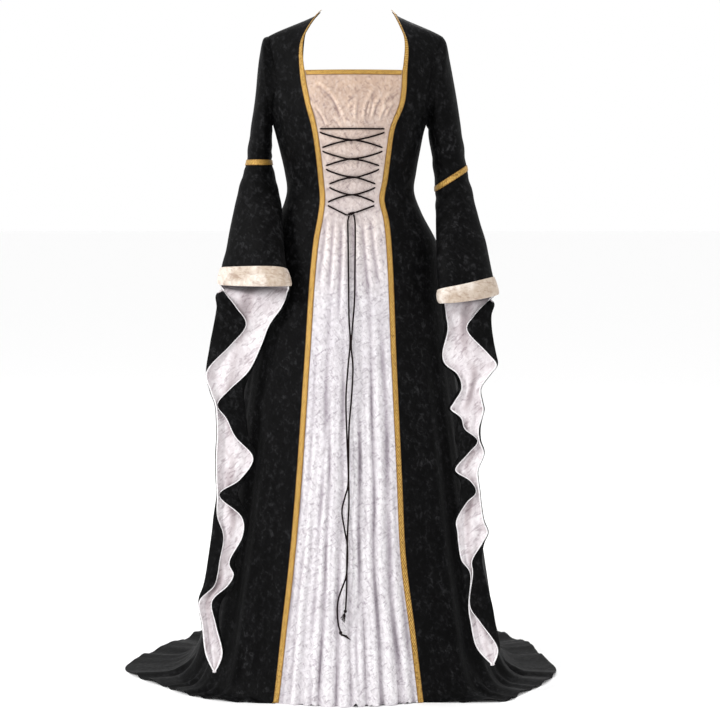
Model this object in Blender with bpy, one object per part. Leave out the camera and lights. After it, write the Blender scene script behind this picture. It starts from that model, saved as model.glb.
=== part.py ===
"""A long medieval gown, filled out as if worn, as hollow cloth pieces.

Metres, +Z up, the gown faces -Y. The origin is the middle of the shoulder line, where the wearer
holds it up. Right and left are the wearer's: right is -X, left is +X.
"""
import math
import bpy
from mathutils import Vector

for old in list(bpy.data.objects):
    bpy.data.objects.remove(old, do_unlink=True)

# Driving sizes
floorZ = -1.445          # the floor under the hem
cloth = 0.0015           # wall of the velvet
liningWall = 0.001       # wall of the sleeve lining
seamGap = 0.0003         # between neighbouring pieces
trimGap = 0.0006         # under what lies on a panel
trimWall = 0.0014        # braid's thickness
trimHalf = 0.006         # half the braid's width
armpitZ = -0.243
hipZ = -0.503
kneeHeight = 0.10        # the skirt starts to sweep out this far above the floor
neckShare = 0.465        # of the way from armpit to shoulder, the level of both necklines
shoulderRound = 0.45     # above this share the body closes over the shoulder
shoulderTipZ = -0.052
shoulderBow = 0.72       # below 1 the shoulder line sags between the neck and the tip
laceWide = 0.0036
landingShare = 0.55     # of the train's reach, where the swept cloth meets the floor
armholeGap = 0.0006      # from the body to the sleeve at the armhole
bodyClear = 0.006        # from the body to a sleeve that passes before it
skirtClear = 0.016       # from the skirt's cone to a hanging point
liningRows = 3           # rows of the sleeve that the lining goes up inside
cuffWall = 0.002
cuffSwell = 0.0025
cuffLift = 0.0012        # from the sleeve to the middle of the cuff
cuffMiddle = 0.86        # the cuff's height, as a share of the sleeve's last row
cuffEnd = 0.55           # the same at the cuff's ends
bandHalf = 0.0065        # half the armband's width
barRise = 0.0035         # the top lace above its eyelets' middle
eyeletStep = 0.004       # from an eyelet's middle to where the lace leaves it
hopSpread = 0.34         # how far along a run the hop over another run reaches
knotHalf = 0.0100
knotTilt = -0.003
knotThick = 0.0036
endRidge = 0.009         # how far the skirt's folds stand out under the free ends
endLift = 0.0045
endPoints = 40
tipPoints = 8
ridgeTop = -0.6          # the skirt's folds start to stand out here
ridgeGrow = 0.4          # and stand out fully this far below
liftGrow = 0.05          # the left end has come forward, over the right one, this far below the knot
knotGap = 0.0001
knotNarrow = 0.85        # a small knot's width, as a share of its length
laceSteep = 1.5          # how much steeper a crossing runs at its ends
runPoints = 9
pathSteps = 12           # steps between two points when a route is smoothed

# The body's sections: half width, depth to the front and to the back, and the middle's place
bodySections = [
    # z, halfWidth, front, back, middle
    (0.000, 0.205, 0.075, 0.080, 0.012),
    (-0.060, 0.205, 0.085, 0.095, 0.009),
    (-0.130, 0.200, 0.099, 0.102, 0.006),
    (-0.200, 0.183, 0.119, 0.100, 0.001),
    (-0.243, 0.166, 0.123, 0.095, -0.003),
    (-0.300, 0.152, 0.119, 0.088, -0.002),
    (-0.345, 0.143, 0.106, 0.083, -0.001),
    (-0.385, 0.1385, 0.097, 0.081, -0.001),
    (-0.430, 0.153, 0.100, 0.092, 0.000),
    (-0.503, 0.190, 0.113, 0.115, 0.000),
    (-0.600, 0.206, 0.133, 0.140, -0.001),
    (-1.445, 0.340, 0.310, 0.360, -0.006),
]

# Where the front seams run, and the neck edges above the panel
frontSeams = [
    # z, right, left
    (0.000, -0.066, 0.090),
    (-0.033, -0.088, 0.105),
    (-0.066, -0.103, 0.117),
    (-0.130, -0.103, 0.115),
    (-0.200, -0.090, 0.108),
    (-0.250, -0.077, 0.089),
    (-0.305, -0.0685, 0.080),
    (-0.360, -0.063, 0.073),
    (-0.404, -0.060, 0.066),
    (-0.445, -0.065, 0.075),
    (-0.489, -0.073, 0.080),
    (-0.745, -0.092, 0.091),
    (-0.987, -0.108, 0.102),
    (-1.152, -0.122, 0.110),
    (-1.295, -0.138, 0.128),
    (-1.445, -0.154, 0.146),
]

# Where the back neckline's edge runs, as a distance from the middle, and on down the back
backNeck = [
    # z, out
    (0.000, 0.078),
    (-0.014, 0.095),
    (-0.035, 0.108),
    (-0.066, 0.113),
    (-0.130, 0.113),
]

# How far forward the armhole's edge lies, as a share of the body's depth there
armhole = [
    # share of the way up, depth
    (0.000, 0.00),
    (0.150, 0.34),
    (0.310, 0.47),
    (0.465, 0.545),
    (0.640, 0.54),
    (0.790, 0.50),
    (0.900, 0.46),
    (1.000, 0.41),
]
upShares = [1.0, 0.97, 0.90, 0.79, 0.64, 0.465, 0.42, 0.21, 0.0]
middleLevels = [-0.285, -0.325, -0.362, -0.395, -0.430, -0.465, -0.503]
straightShares = [0.2, 0.4, 0.6, 0.8, 1.0]
sweepShares = [0.16, 0.33, 0.50, 0.67, 0.84, 1.0]

# How far the hem lies out from the skirt's own cone on the floor
trainReach = [
    # degrees from the front, towards the left; reach
    (-180, 0.260),
    (-160, 0.235),
    (-136, 0.150),
    (-120, 0.122),
    (-103, 0.139),
    (-90, 0.158),
    (-79, 0.125),
    (-68, 0.090),
    (-55, 0.073),
    (-41, 0.046),
    (-25, 0.004),
    (0, 0.000),
    (27, 0.000),
    (40, 0.052),
    (49, 0.098),
    (58, 0.092),
    (71, 0.105),
    (89, 0.122),
    (102, 0.112),
    (118, 0.128),
    (132, 0.135),
    (160, 0.225),
    (180, 0.260),
]

# The folds of each panel: where across the panel, how deep at the hem, and where they start
panelFolds = {
    "front": [
        # share across, depth, top
        (0.075, 0.008, -0.95),
        (0.185, 0.012, -0.62),
        (0.300, 0.009, -0.80),
        (0.410, 0.010, -0.70),
        (0.520, 0.008, -0.90),
        (0.625, 0.013, -0.60),
        (0.740, 0.010, -0.78),
        (0.850, 0.012, -0.66),
        (0.940, 0.007, -1.00),
    ],
    "side": [
        (0.16, 0.012, -0.70),
        (0.39, 0.018, -0.58),
        (0.62, 0.014, -0.75),
        (0.86, 0.018, -0.62),
    ],
    "sideBack": [
        (0.22, 0.016, -0.60),
        (0.68, 0.020, -0.55),
    ],
    "back": [
        (0.20, 0.018, -0.62),
        (0.52, 0.022, -0.54),
        (0.84, 0.018, -0.66),
    ],
}

# Upper sleeves, from the shoulder down to the armband: the outer and the inner point of each ring
upperSleeve = {
    -1: [
        # outer x, outer z, inner x, inner z, half depth
        (-0.190, -0.058, -0.170, -0.247, 0.055),
        (-0.197, -0.095, -0.171, -0.251, 0.055),
        (-0.202, -0.135, -0.171, -0.257, 0.053),
        (-0.207, -0.178, -0.171, -0.265, 0.051),
        (-0.215, -0.232, -0.171, -0.283, 0.047),
        (-0.222, -0.281, -0.172, -0.304, 0.045),
        (-0.227, -0.324, -0.172, -0.324, 0.044),
    ],
    1: [
        (0.207, -0.068, 0.165, -0.247, 0.055),
        (0.215, -0.105, 0.167, -0.252, 0.055),
        (0.222, -0.146, 0.168, -0.262, 0.053),
        (0.231, -0.199, 0.171, -0.281, 0.051),
        (0.239, -0.249, 0.175, -0.303, 0.047),
        (0.246, -0.292, 0.178, -0.331, 0.045),
        (0.252, -0.335, 0.183, -0.381, 0.044),
    ],
}

# Lower sleeves, from the armband to the turned-back cuff
lowerSleeve = {
    -1: [
        # outer x, y, z, inner x, y, z, half depth
        (-0.234, -0.010, -0.357, -0.164, -0.030, -0.359, 0.043),
        (-0.242, -0.020, -0.394, -0.157, -0.054, -0.389, 0.042),
        (-0.249, -0.030, -0.430, -0.150, -0.078, -0.419, 0.041),
        (-0.256, -0.042, -0.469, -0.147, -0.102, -0.460, 0.041),
        (-0.263, -0.054, -0.512, -0.143, -0.124, -0.504, 0.041),
        (-0.271, -0.063, -0.542, -0.139, -0.137, -0.536, 0.042),
        (-0.280, -0.072, -0.585, -0.129, -0.146, -0.585, 0.043),
    ],
    1: [
        (0.260, -0.010, -0.378, 0.185, -0.030, -0.409, 0.043),
        (0.267, -0.024, -0.422, 0.187, -0.062, -0.439, 0.042),
        (0.275, -0.036, -0.456, 0.187, -0.086, -0.472, 0.041),
        (0.285, -0.048, -0.490, 0.187, -0.108, -0.506, 0.041),
        (0.293, -0.060, -0.529, 0.187, -0.126, -0.548, 0.041),
        (0.299, -0.067, -0.559, 0.189, -0.137, -0.581, 0.042),
        (0.311, -0.074, -0.604, 0.193, -0.146, -0.621, 0.043),
    ],
}

# The hanging points, a row for each turn of their edges: the folds and the free edges, side to side
hangingPoint = {
    -1: [
        # z, outer fold, outer edge, inner fold, inner edge
        (-0.601, -0.283, -0.266, -0.131, -0.134),
        (-0.632, -0.285, -0.243, -0.142, -0.146),
        (-0.669, -0.292, -0.223, -0.168, -0.172),
        (-0.712, -0.300, -0.257, -0.185, -0.189),
        (-0.764, -0.306, -0.306, -0.210, -0.214),
        (-0.806, -0.299, -0.299, -0.226, -0.258),
        (-0.836, -0.288, -0.288, -0.224, -0.282),
        (-0.865, -0.285, -0.285, -0.221, -0.262),
        (-0.903, -0.284, -0.284, -0.216, -0.243),
        (-0.947, -0.286, -0.286, -0.201, -0.205),
        (-0.993, -0.285, -0.285, -0.222, -0.234),
        (-1.024, -0.283, -0.283, -0.238, -0.277),
        (-1.067, -0.289, -0.282, -0.217, -0.230),
        (-1.109, -0.294, -0.268, -0.219, -0.227),
        (-1.160, -0.301, -0.276, -0.242, -0.254),
        (-1.187, -0.305, -0.280, -0.238, -0.245),
        (-1.211, -0.310, -0.288, -0.242, -0.258),
        (-1.242, -0.319, -0.319, -0.270, -0.290),
        (-1.287, -0.312, -0.312, -0.276, -0.281),
        (-1.345, -0.304, -0.304, -0.263, -0.266),
        (-1.386, -0.287, -0.287, -0.281, -0.281),
    ],
    1: [
        (-0.622, 0.305, 0.288, 0.195, 0.199),
        (-0.649, 0.300, 0.263, 0.197, 0.202),
        (-0.680, 0.301, 0.248, 0.200, 0.205),
        (-0.726, 0.308, 0.290, 0.190, 0.194),
        (-0.752, 0.311, 0.311, 0.196, 0.200),
        (-0.773, 0.297, 0.297, 0.220, 0.226),
        (-0.802, 0.277, 0.277, 0.228, 0.234),
        (-0.830, 0.280, 0.280, 0.214, 0.218),
        (-0.846, 0.283, 0.283, 0.207, 0.211),
        (-0.864, 0.279, 0.279, 0.226, 0.233),
        (-0.887, 0.275, 0.272, 0.223, 0.241),
        (-0.911, 0.276, 0.274, 0.221, 0.268),
        (-0.938, 0.283, 0.283, 0.230, 0.247),
        (-0.972, 0.270, 0.270, 0.214, 0.220),
        (-0.995, 0.271, 0.271, 0.231, 0.252),
        (-1.018, 0.274, 0.274, 0.232, 0.264),
        (-1.040, 0.276, 0.276, 0.230, 0.243),
        (-1.075, 0.281, 0.281, 0.218, 0.222),
        (-1.101, 0.290, 0.290, 0.220, 0.224),
        (-1.125, 0.281, 0.277, 0.222, 0.226),
        (-1.158, 0.277, 0.256, 0.228, 0.232),
        (-1.187, 0.282, 0.257, 0.233, 0.251),
        (-1.248, 0.297, 0.250, 0.242, 0.246),
        (-1.283, 0.303, 0.272, 0.246, 0.250),
        (-1.334, 0.312, 0.308, 0.258, 0.262),
        (-1.372, 0.300, 0.300, 0.294, 0.294),
    ],
}

# How far forward the back of a hanging point lies
hangingDepth = [
    # z, y
    (-0.590, -0.096),
    (-0.750, -0.122),
    (-1.000, -0.165),
    (-1.200, -0.205),
    (-1.420, -0.262),
]
pointLip = 0.013         # from a hanging point's back to its turned edges
pointLipShare = 0.45     # the most it may be, as a share of the point's width

# Across a hanging point: the part between its edges and folds, the share across it, and how far
# forward it lies in lips
pointShape = [
    # part, share, lips
    ("outer", 0.00, 1.15),
    ("outer", 0.55, 1.00),
    ("outer", 1.00, 0.50),
    ("back", 0.22, -0.15),
    ("back", 0.50, 0.25),
    ("back", 0.78, -0.15),
    ("inner", 0.00, 0.50),
    ("inner", 0.45, 1.00),
    ("inner", 1.00, 1.15),
]
ringSides = 16           # twice the rows between the armpit and the shoulder

# The lace's eyelets, from the top
eyelets = [
    # z, right, left
    (-0.258, -0.0645, 0.0710),
    (-0.2975, -0.0593, 0.0667),
    (-0.3355, -0.0520, 0.0597),
    (-0.374, -0.0448, 0.0517),
    (-0.4125, -0.0480, 0.0493),
]
laceLift = 0.0004 + laceWide / 2
laceHop = laceWide + 0.0013
knotCentre = (0.0015, -0.4335)

# The free ends, chosen by hand from the photo: across and down
laceStarts = {-1: (-0.0035, -0.4380), 1: (0.0065, -0.4358)}
laceEnds = {
    -1: [
        (-0.0062, -0.450), (-0.0055, -0.489), (-0.0045, -0.570), (-0.0036, -0.649), (-0.001, -0.701),
        (-0.006, -0.760), (-0.0098, -0.822), (-0.0075, -0.900), (-0.0046, -0.987), (-0.011, -1.018),
        (-0.018, -1.048), (-0.0125, -1.085), (-0.0062, -1.124), (-0.0085, -1.177), (-0.018, -1.205),
        (-0.0255, -1.228), (-0.0273, -1.250), (-0.0252, -1.276), (-0.0212, -1.2895),
    ],
    1: [
        (0.0092, -0.452), (0.0097, -0.489), (0.0090, -0.550), (0.008, -0.617), (0.003, -0.680),
        (0.0012, -0.712), (0.0049, -0.755), (0.002, -0.815), (-0.0030, -0.874), (-0.0040, -0.930),
        (-0.0040, -0.985), (-0.0033, -1.032), (-0.0060, -1.090), (-0.0074, -1.144), (-0.0078, -1.203),
        (-0.0100, -1.2455),
    ],
}
knots = {
    # across, down, size
    -1: (-0.0200, -1.2945, 0.0042),
    1: (-0.0109, -1.2505, 0.0038),
}
frays = {
    -1: [(-0.0165, -1.2985), (-0.0100, -1.3015), (-0.0035, -1.3040)],
    1: [(-0.0120, -1.2560), (-0.0140, -1.2620), (-0.0165, -1.2690)],
}


def along(table, column, at, smooth=False):
    """The value of a table's column at a key, which the first column holds in order."""
    keys = [row[0] for row in table]
    values = [row[column] for row in table]
    if keys[0] > keys[-1]:
        keys.reverse()
        values.reverse()
    if at <= keys[0]:
        return values[0]
    if at >= keys[-1]:
        return values[-1]
    i = max(k for k in range(len(keys) - 1) if keys[k] <= at)
    span = keys[i + 1] - keys[i]
    t = (at - keys[i]) / span
    if not smooth:
        return values[i] + (values[i + 1] - values[i]) * t
    rise = (values[i + 1] - values[i]) / span
    before = rise if i == 0 else (values[i] - values[i - 1]) / (keys[i] - keys[i - 1])
    after = rise if i + 2 == len(keys) else (values[i + 2] - values[i + 1]) / (keys[i + 2] - keys[i + 1])
    m0 = 0.5 * (before + rise) * span if i else rise * span
    m1 = 0.5 * (after + rise) * span if i + 2 < len(keys) else rise * span
    t2, t3 = t * t, t * t * t
    return (values[i] * (2 * t3 - 3 * t2 + 1) + m0 * (t3 - 2 * t2 + t)
            + values[i + 1] * (3 * t2 - 2 * t3) + m1 * (t3 - t2))


def section(z):
    return [along(bodySections, column, z, smooth=z > -0.6) for column in (1, 2, 3, 4)]


def bodyPoint(angle, z, closing=1.0):
    """A point of the body's surface, angle 0 at the front and 90 degrees at the left side."""
    width, front, back, middle = section(z)
    depth = front if math.cos(angle) > 0 else back
    return Vector((middle + width * math.sin(angle), -depth * closing * math.cos(angle), z))


def angleAt(x, z):
    """The angle at which the front of the body has this x."""
    width, front, back, middle = section(z)
    return math.asin(max(-1.0, min(1.0, (x - middle) / width)))


def smoothPath(points, count):
    """Points along a smooth curve through the given points, evenly spread."""
    dense = []
    last = len(points) - 1
    for i in range(last):
        a, b = points[max(i - 1, 0)], points[i]
        c, d = points[i + 1], points[min(i + 2, last)]
        for step in range(pathSteps):
            t = step / pathSteps
            dense.append(0.5 * ((2 * b) + (c - a) * t + (2 * a - 5 * b + 4 * c - d) * t * t
                                + (3 * b - a - 3 * c + d) * t * t * t))
    dense.append(points[-1])
    return evenly(dense, [i / (count - 1) for i in range(count)])


def evenly(dense, shares):
    """The points at these shares of a polyline's length."""
    run = [0.0]
    for a, b in zip(dense, dense[1:]):
        run.append(run[-1] + (b - a).length)
    found = []
    for share in shares:
        goal = share * run[-1]
        i = 0
        while i < len(dense) - 2 and run[i + 1] < goal:
            i += 1
        t = (goal - run[i]) / max(run[i + 1] - run[i], 1e-9)
        found.append(dense[i].lerp(dense[i + 1], min(t, 1.0)))
    return found


# The cloth around the body, in stretches between the seams, each with a column at each fold and
# one between two folds
def foldColumns(folds):
    """Each column as its share across, and its fold's turn, depth and top."""
    columns = [(0.0, (0.0, 0.0, 0.0))]
    for i, (share, depth, top) in enumerate(folds):
        if i:
            lastShare, lastDepth, lastTop = folds[i - 1]
            ridge = (1.0, (lastDepth + depth) / 2, (lastTop + top) / 2)
            columns.append(((lastShare + share) / 2, ridge))
        columns.append((share, (-1.0, depth, top)))
    columns.append((1.0, (0.0, 0.0, 0.0)))
    return columns


def edgeAngles(level, up):
    """The seams' angles at a level: both front seams, the side or armhole, and the back neck line."""
    right = angleAt(along(frontSeams, 1, level, True), level)
    left = angleAt(along(frontSeams, 2, level, True), level)
    neckLevel = max(level, backNeck[-1][0])
    backOut = math.pi - math.asin(along(backNeck, 1, neckLevel, True) / section(neckLevel)[0])
    side = math.acos(along(armhole, 1, up, True)) if up > 0 else math.pi / 2
    return right, left, side, backOut


def columnAngle(stretch, share, level, up=0.0):
    """The angle around the body of a column, a share across its stretch."""
    name, side = stretch
    right, left, sideAngle, backOut = edgeAngles(level, up)
    if name == "front":
        return right + (left - right) * share
    inner = left if side > 0 else -right
    if name == "side":
        return side * (inner + (sideAngle - inner) * share)
    if name == "sideBack":
        return side * (math.pi - sideAngle + (backOut - math.pi + sideAngle) * share)
    return side * (backOut + (math.pi - backOut) * share)


def closingAt(up):
    """How far the body has closed over the shoulder: 1 below it, 0 at its seam."""
    if up <= shoulderRound:
        return 1.0
    return math.sqrt(max(0.0, 1 - ((up - shoulderRound) / (1 - shoulderRound)) ** 2))


def upperPoint(stretch, share, up):
    """A point between the armpit's level and the shoulder, a share of the way up."""
    top = 0.0
    if stretch[0] == "side":
        top = shoulderTipZ * share ** shoulderBow
    if stretch[0] == "sideBack":
        top = shoulderTipZ * (1 - share) ** shoulderBow
    z = armpitZ + (top - armpitZ) * up
    angle = columnAngle(stretch, share, armpitZ * (1 - up), up)
    return bodyPoint(angle, z, closingAt(up))


def skirtPath(stretch, share):
    """The skirt's points below the hip: down its cone, then swept out along the floor."""
    kneeZ = floorZ + kneeHeight
    points = []
    for down in straightShares:
        z = hipZ + (kneeZ - hipZ) * down
        points.append(bodyPoint(columnAngle(stretch, share, z), z))
    angle = columnAngle(stretch, share, floorZ)
    foot = bodyPoint(angle, floorZ)
    degrees = (math.degrees(angle) + 180) % 360 - 180
    reach = along(trainReach, 1, degrees, True)
    away = Vector((math.sin(angle), -math.cos(angle), 0))
    landing = foot + away * reach * landingShare
    hem = foot + away * reach
    dense = []
    for step in range(17):
        t = step / 16
        dense.append(points[-1] * (1 - t) ** 2 + foot * 2 * t * (1 - t) + landing * t * t)
    dense += [landing.lerp(hem, (step + 1) / 4) for step in range(4)]
    return points + evenly(dense, sweepShares)


def stretchGrid(stretch, columns):
    """The outer points of one stretch, a list for each row from its top to the hem."""
    grid = [[upperPoint(stretch, share, up) for share, wave in columns] for up in upShares]
    for z in middleLevels:
        grid.append([bodyPoint(columnAngle(stretch, share, z), z) for share, wave in columns])
    paths = [skirtPath(stretch, share) for share, wave in columns]
    grid += [list(line) for line in zip(*paths)]
    return grid


neckRow = upShares.index(neckShare)
armpitRow = len(upShares) - 1
hipRow = armpitRow + len(middleLevels)
stretches = [
    # name, side, first row, the row from which it is joined to the stretch before it
    ("front", 0, neckRow, neckRow),
    ("side", 1, 0, neckRow),
    ("sideBack", 1, 0, armpitRow),
    ("back", 1, neckRow, neckRow),
    ("back", -1, neckRow, neckRow),
    ("sideBack", -1, 0, neckRow),
    ("side", -1, 0, armpitRow),
]


def stretchNormals(grids, i):
    """The outward normals of a stretch, which follow its neighbours across the joined seams."""
    grid, first = grids[i], stretches[i][2]
    before, after = grids[i - 1], grids[(i + 1) % len(grids)]
    joinedBefore, joinedAfter = stretches[i][3], stretches[(i + 1) % len(grids)][3]
    normals = []
    for r, line in enumerate(grid):
        above, below = grid[max(r - 1, first, 0)], grid[min(r + 1, len(grid) - 1)]
        found = []
        for c, point in enumerate(line):
            lastPoint, nextPoint = line[max(c - 1, 0)], line[min(c + 1, len(line) - 1)]
            if c == 0 and r >= joinedBefore:
                lastPoint = before[r][-2]
            if c == len(line) - 1 and r >= joinedAfter:
                nextPoint = after[r][1]
            found.append((below[c] - above[c]).cross(nextPoint - lastPoint).normalized())
        normals.append(found)
    return normals


def offFloor(point, lowest):
    return Vector((point.x, point.y, max(point.z, lowest)))


def foldPush(wave, z, upward):
    """How far a fold moves the cloth out at a height; on the floor it only lifts it."""
    turn, depth, top = wave
    if not depth or z > top:
        return 0.0
    start = min(1.0, (top - z) / (top - floorZ - kneeHeight))
    return depth / 2 * start * (turn + max(0.0, upward))


bodyColumns = []
for name, side, first, joined in stretches:
    columns = foldColumns(panelFolds[name])
    bodyColumns.append(list(reversed(columns)) if side < 0 else columns)
grids = [stretchGrid(stretch[:2], columns) for stretch, columns in zip(stretches, bodyColumns)]
plain = [stretchNormals(grids, i) for i in range(len(grids))]
for grid, columns, facing in zip(grids, bodyColumns, plain):
    for r in range(hipRow, len(grid)):
        for c, (share, wave) in enumerate(columns):
            normal = facing[r][c]
            grid[r][c] = grid[r][c] + normal * foldPush(wave, grid[r][c].z, normal.z)


def besideEdge(line, edge, inside):
    """The point of a row on which the braid's edge lies."""
    return line[edge] + (line[inside] - line[edge]).normalized() * trimHalf


for grid, (name, side, first, joined) in zip(grids, stretches):
    for line in grid:
        if name == "front" or (name, side) in (("side", 1), ("sideBack", -1)):
            line.insert(1, besideEdge(line, 0, 1))
        if name == "front" or (name, side) in (("side", -1), ("sideBack", 1)):
            line.insert(-1, besideEdge(line, -1, -2))
outerBody = []
innerBody = []
bodyNormals = []
for i, grid in enumerate(grids):
    facing = stretchNormals(grids, i)
    if stretches[i][2] == 0:
        facing[0] = [Vector((n.x, 0, abs(n.z) + 1e-6)).normalized() for n in facing[0]]
    outer = [[offFloor(p, floorZ + cloth * abs(n.z)) for p, n in zip(line, turned)]
             for line, turned in zip(grid, facing)]
    inner = [[offFloor(p - n * cloth, floorZ) for p, n in zip(line, turned)]
             for line, turned in zip(outer, facing)]
    outerBody.append(outer)
    innerBody.append(inner)
    bodyNormals.append(facing)


def material(name, colour, roughness, metallic):
    made = bpy.data.materials.new(name)
    made.use_nodes = True
    shader = made.node_tree.nodes["Principled BSDF"]
    shader.inputs["Base Color"].default_value = (*colour, 1)
    shader.inputs["Roughness"].default_value = roughness
    shader.inputs["Metallic"].default_value = metallic
    return made


finishes = {
    "black_velvet": ((0.010, 0.010, 0.012), 0.6, 0.0),
    "cream_velvet": ((0.66, 0.57, 0.50), 0.5, 0.0),
    "silver_lining": ((0.70, 0.65, 0.65), 0.45, 0.0),
    "gold_braid": ((0.55, 0.35, 0.10), 0.4, 0.3),
    "dark_lace": ((0.02, 0.012, 0.012), 0.6, 0.0),
}


def addObject(name, data, finish):
    made = bpy.data.objects.new(name, data)
    bpy.context.scene.collection.objects.link(made)
    data.materials.append(material(name + "_" + finish, *finishes[finish]))
    return made


def meshObject(name, points, faces, finish):
    mesh = bpy.data.meshes.new(name)
    mesh.from_pydata([tuple(point) for point in points], [], faces)
    mesh.shade_smooth()
    mesh.set_sharp_from_angle(angle=math.radians(40))
    return addObject(name, mesh, finish)


def wall(name, outer, inner, finish, closed=False, flip=False, used=None):
    """A closed cloth wall between two grids of points, with only the cells that are used."""
    width = len(outer[0])
    layers = (outer, inner)
    number = {}
    points = []

    def index(layer, corner):
        key = (layer, *corner)
        if key not in number:
            number[key] = len(points)
            points.append(layers[layer][corner[0]][corner[1]])
        return number[key]

    faces = []
    edges = {}
    for r in range(len(outer) - 1):
        for c in range(width if closed else width - 1):
            if used and not used(r, c):
                continue
            after = (c + 1) % width
            ring = [(r, c), (r + 1, c), (r + 1, after), (r, after)]
            if flip:
                ring = [ring[0], ring[3], ring[2], ring[1]]
            for triangle in (ring[:3], [ring[0], ring[2], ring[3]]):
                faces.append([index(0, corner) for corner in triangle])
                faces.append([index(1, corner) for corner in reversed(triangle)])
            for a, b in zip(ring, ring[1:] + ring[:1]):
                if (b, a) in edges:
                    del edges[(b, a)]
                else:
                    edges[(a, b)] = True
    for a, b in edges:
        faces.append([index(0, b), index(0, a), index(1, a), index(1, b)])
    return meshObject(name, points, faces, finish)


def trimmedEnds(line):
    """A row of points with both ends moved in by half a seam."""
    moved = list(line)
    moved[0] = line[0] + (line[1] - line[0]).normalized() * seamGap / 2
    moved[-1] = line[-1] + (line[-2] - line[-1]).normalized() * seamGap / 2
    return moved


def bodyPanel(name, parts, finish, used=None):
    """One cut piece of the body, from one or two neighbouring stretches."""
    first = min(stretches[i][2] for i in parts)
    layers = []
    for layer in (outerBody, innerBody):
        grid = []
        for r in range(first, hemRow + 1):
            line = list(layer[parts[0]][r])
            for i in parts[1:]:
                line += layer[i][r][1:]
            grid.append(trimmedEnds(line))
        if first == 0:
            grid[0] = [p + (q - p).normalized() * seamGap / 2 for p, q in zip(grid[0], grid[1])]
        layers.append(grid)
    wall(name, *layers, finish, used=used)


hemRow = len(grids[0]) - 1
sideBackCells = len(outerBody[2][0]) - 1
backCells = len(outerBody[3][0]) - 1
bodyPanel("front_panel", [0], "cream_velvet")
bodyPanel("side_front_left", [1], "black_velvet")
bodyPanel("side_front_right", [6], "black_velvet")
bodyPanel("back_left", [2, 3], "black_velvet", lambda r, c: r >= neckRow or c < sideBackCells)
bodyPanel("back_right", [4, 5], "black_velvet", lambda r, c: r >= neckRow or c >= backCells)


# Sleeves
def gridNormals(grid, closed, flip):
    """The outward normals of a grid whose rows run down and whose columns run round."""
    normals = []
    for r, line in enumerate(grid):
        above, below = grid[max(r - 1, 0)], grid[min(r + 1, len(grid) - 1)]
        found = []
        for c, point in enumerate(line):
            before, after = line[c - 1], line[(c + 1) % len(line)]
            if not closed:
                before, after = line[max(c - 1, 0)], line[min(c + 1, len(line) - 1)]
            normal = (below[c] - above[c]).cross(after - before).normalized()
            found.append(-normal if flip else normal)
        normals.append(found)
    return normals


def moved(grid, facing, distance):
    return [[p + n * distance for p, n in zip(line, turned)] for line, turned in zip(grid, facing)]


def sleeveRing(outerPoint, innerPoint, depth):
    """An oval of cloth between its outer and its inner point, from the inner one round the front."""
    centre = (outerPoint + innerPoint) / 2
    reach = (innerPoint - outerPoint) / 2
    forward = Vector((-reach.y, reach.x, 0)).normalized()
    if forward.y > 0:
        forward = -forward
    turns = [2 * math.pi * k / ringSides for k in range(ringSides)]
    return [centre + reach * math.cos(turn) + forward * depth * math.sin(turn) for turn in turns]


def bandEdge(seam, beyond):
    """The ring of a sleeve that an edge of its armband lies on."""
    return [p + (q - p).normalized() * bandHalf for p, q in zip(seam, beyond)]


def clearOfSkirt(point, margin):
    """Moves a point forward until it is clear of the body's front."""
    width, front, back, middle = section(point.z)
    out = (point.x - middle) / (width + margin)
    if abs(out) >= 1:
        return point
    surface = -(front + margin) * math.sqrt(1 - out * out)
    return Vector((point.x, min(point.y, surface), point.z))


def armholeRing(side):
    """The sleeve's first ring, on the armhole's own points, with the body's normals there."""
    frontEdge, backEdge = (1, 2) if side > 0 else (6, 5)
    frontColumn, backColumn = (-1, 0) if side > 0 else (0, -1)
    away = Vector((side * armholeGap, 0, 0))
    places = [(frontEdge, r, frontColumn) for r in range(armpitRow, -1, -1)]
    places += [(backEdge, r, backColumn) for r in range(1, armpitRow)]
    ring = [outerBody[i][r][c] + away for i, r, c in places]
    rounded = [bodyNormals[i][r][c] if upShares[r] > shoulderRound else None for i, r, c in places]
    return ring, rounded


def cuffHeight(k):
    """The height of the cuff's top edge at a column, as a share of the sleeve's last row."""
    place = (k + 1) % ringSides / (ringSides // 2 + 2)
    rise = math.sin(math.pi * place) if place < 1 else 0.0
    return cuffEnd + (cuffMiddle - cuffEnd) * rise


def hangingRow(row):
    """Across a hanging point, from its outer free edge round its back to its inner free edge."""
    z, outFold, outEdge, inFold, inEdge = row
    y = along(hangingDepth, 1, z)
    lip = min(pointLip, abs(inFold - outFold) * pointLipShare)
    spans = {"outer": (outEdge, outFold), "back": (outFold, inFold), "inner": (inFold, inEdge)}
    line = []
    for span, share, lips in pointShape:
        start, end = spans[span]
        line.append(Vector((start + (end - start) * share, y - lip * lips, z)))
    return line


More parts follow.
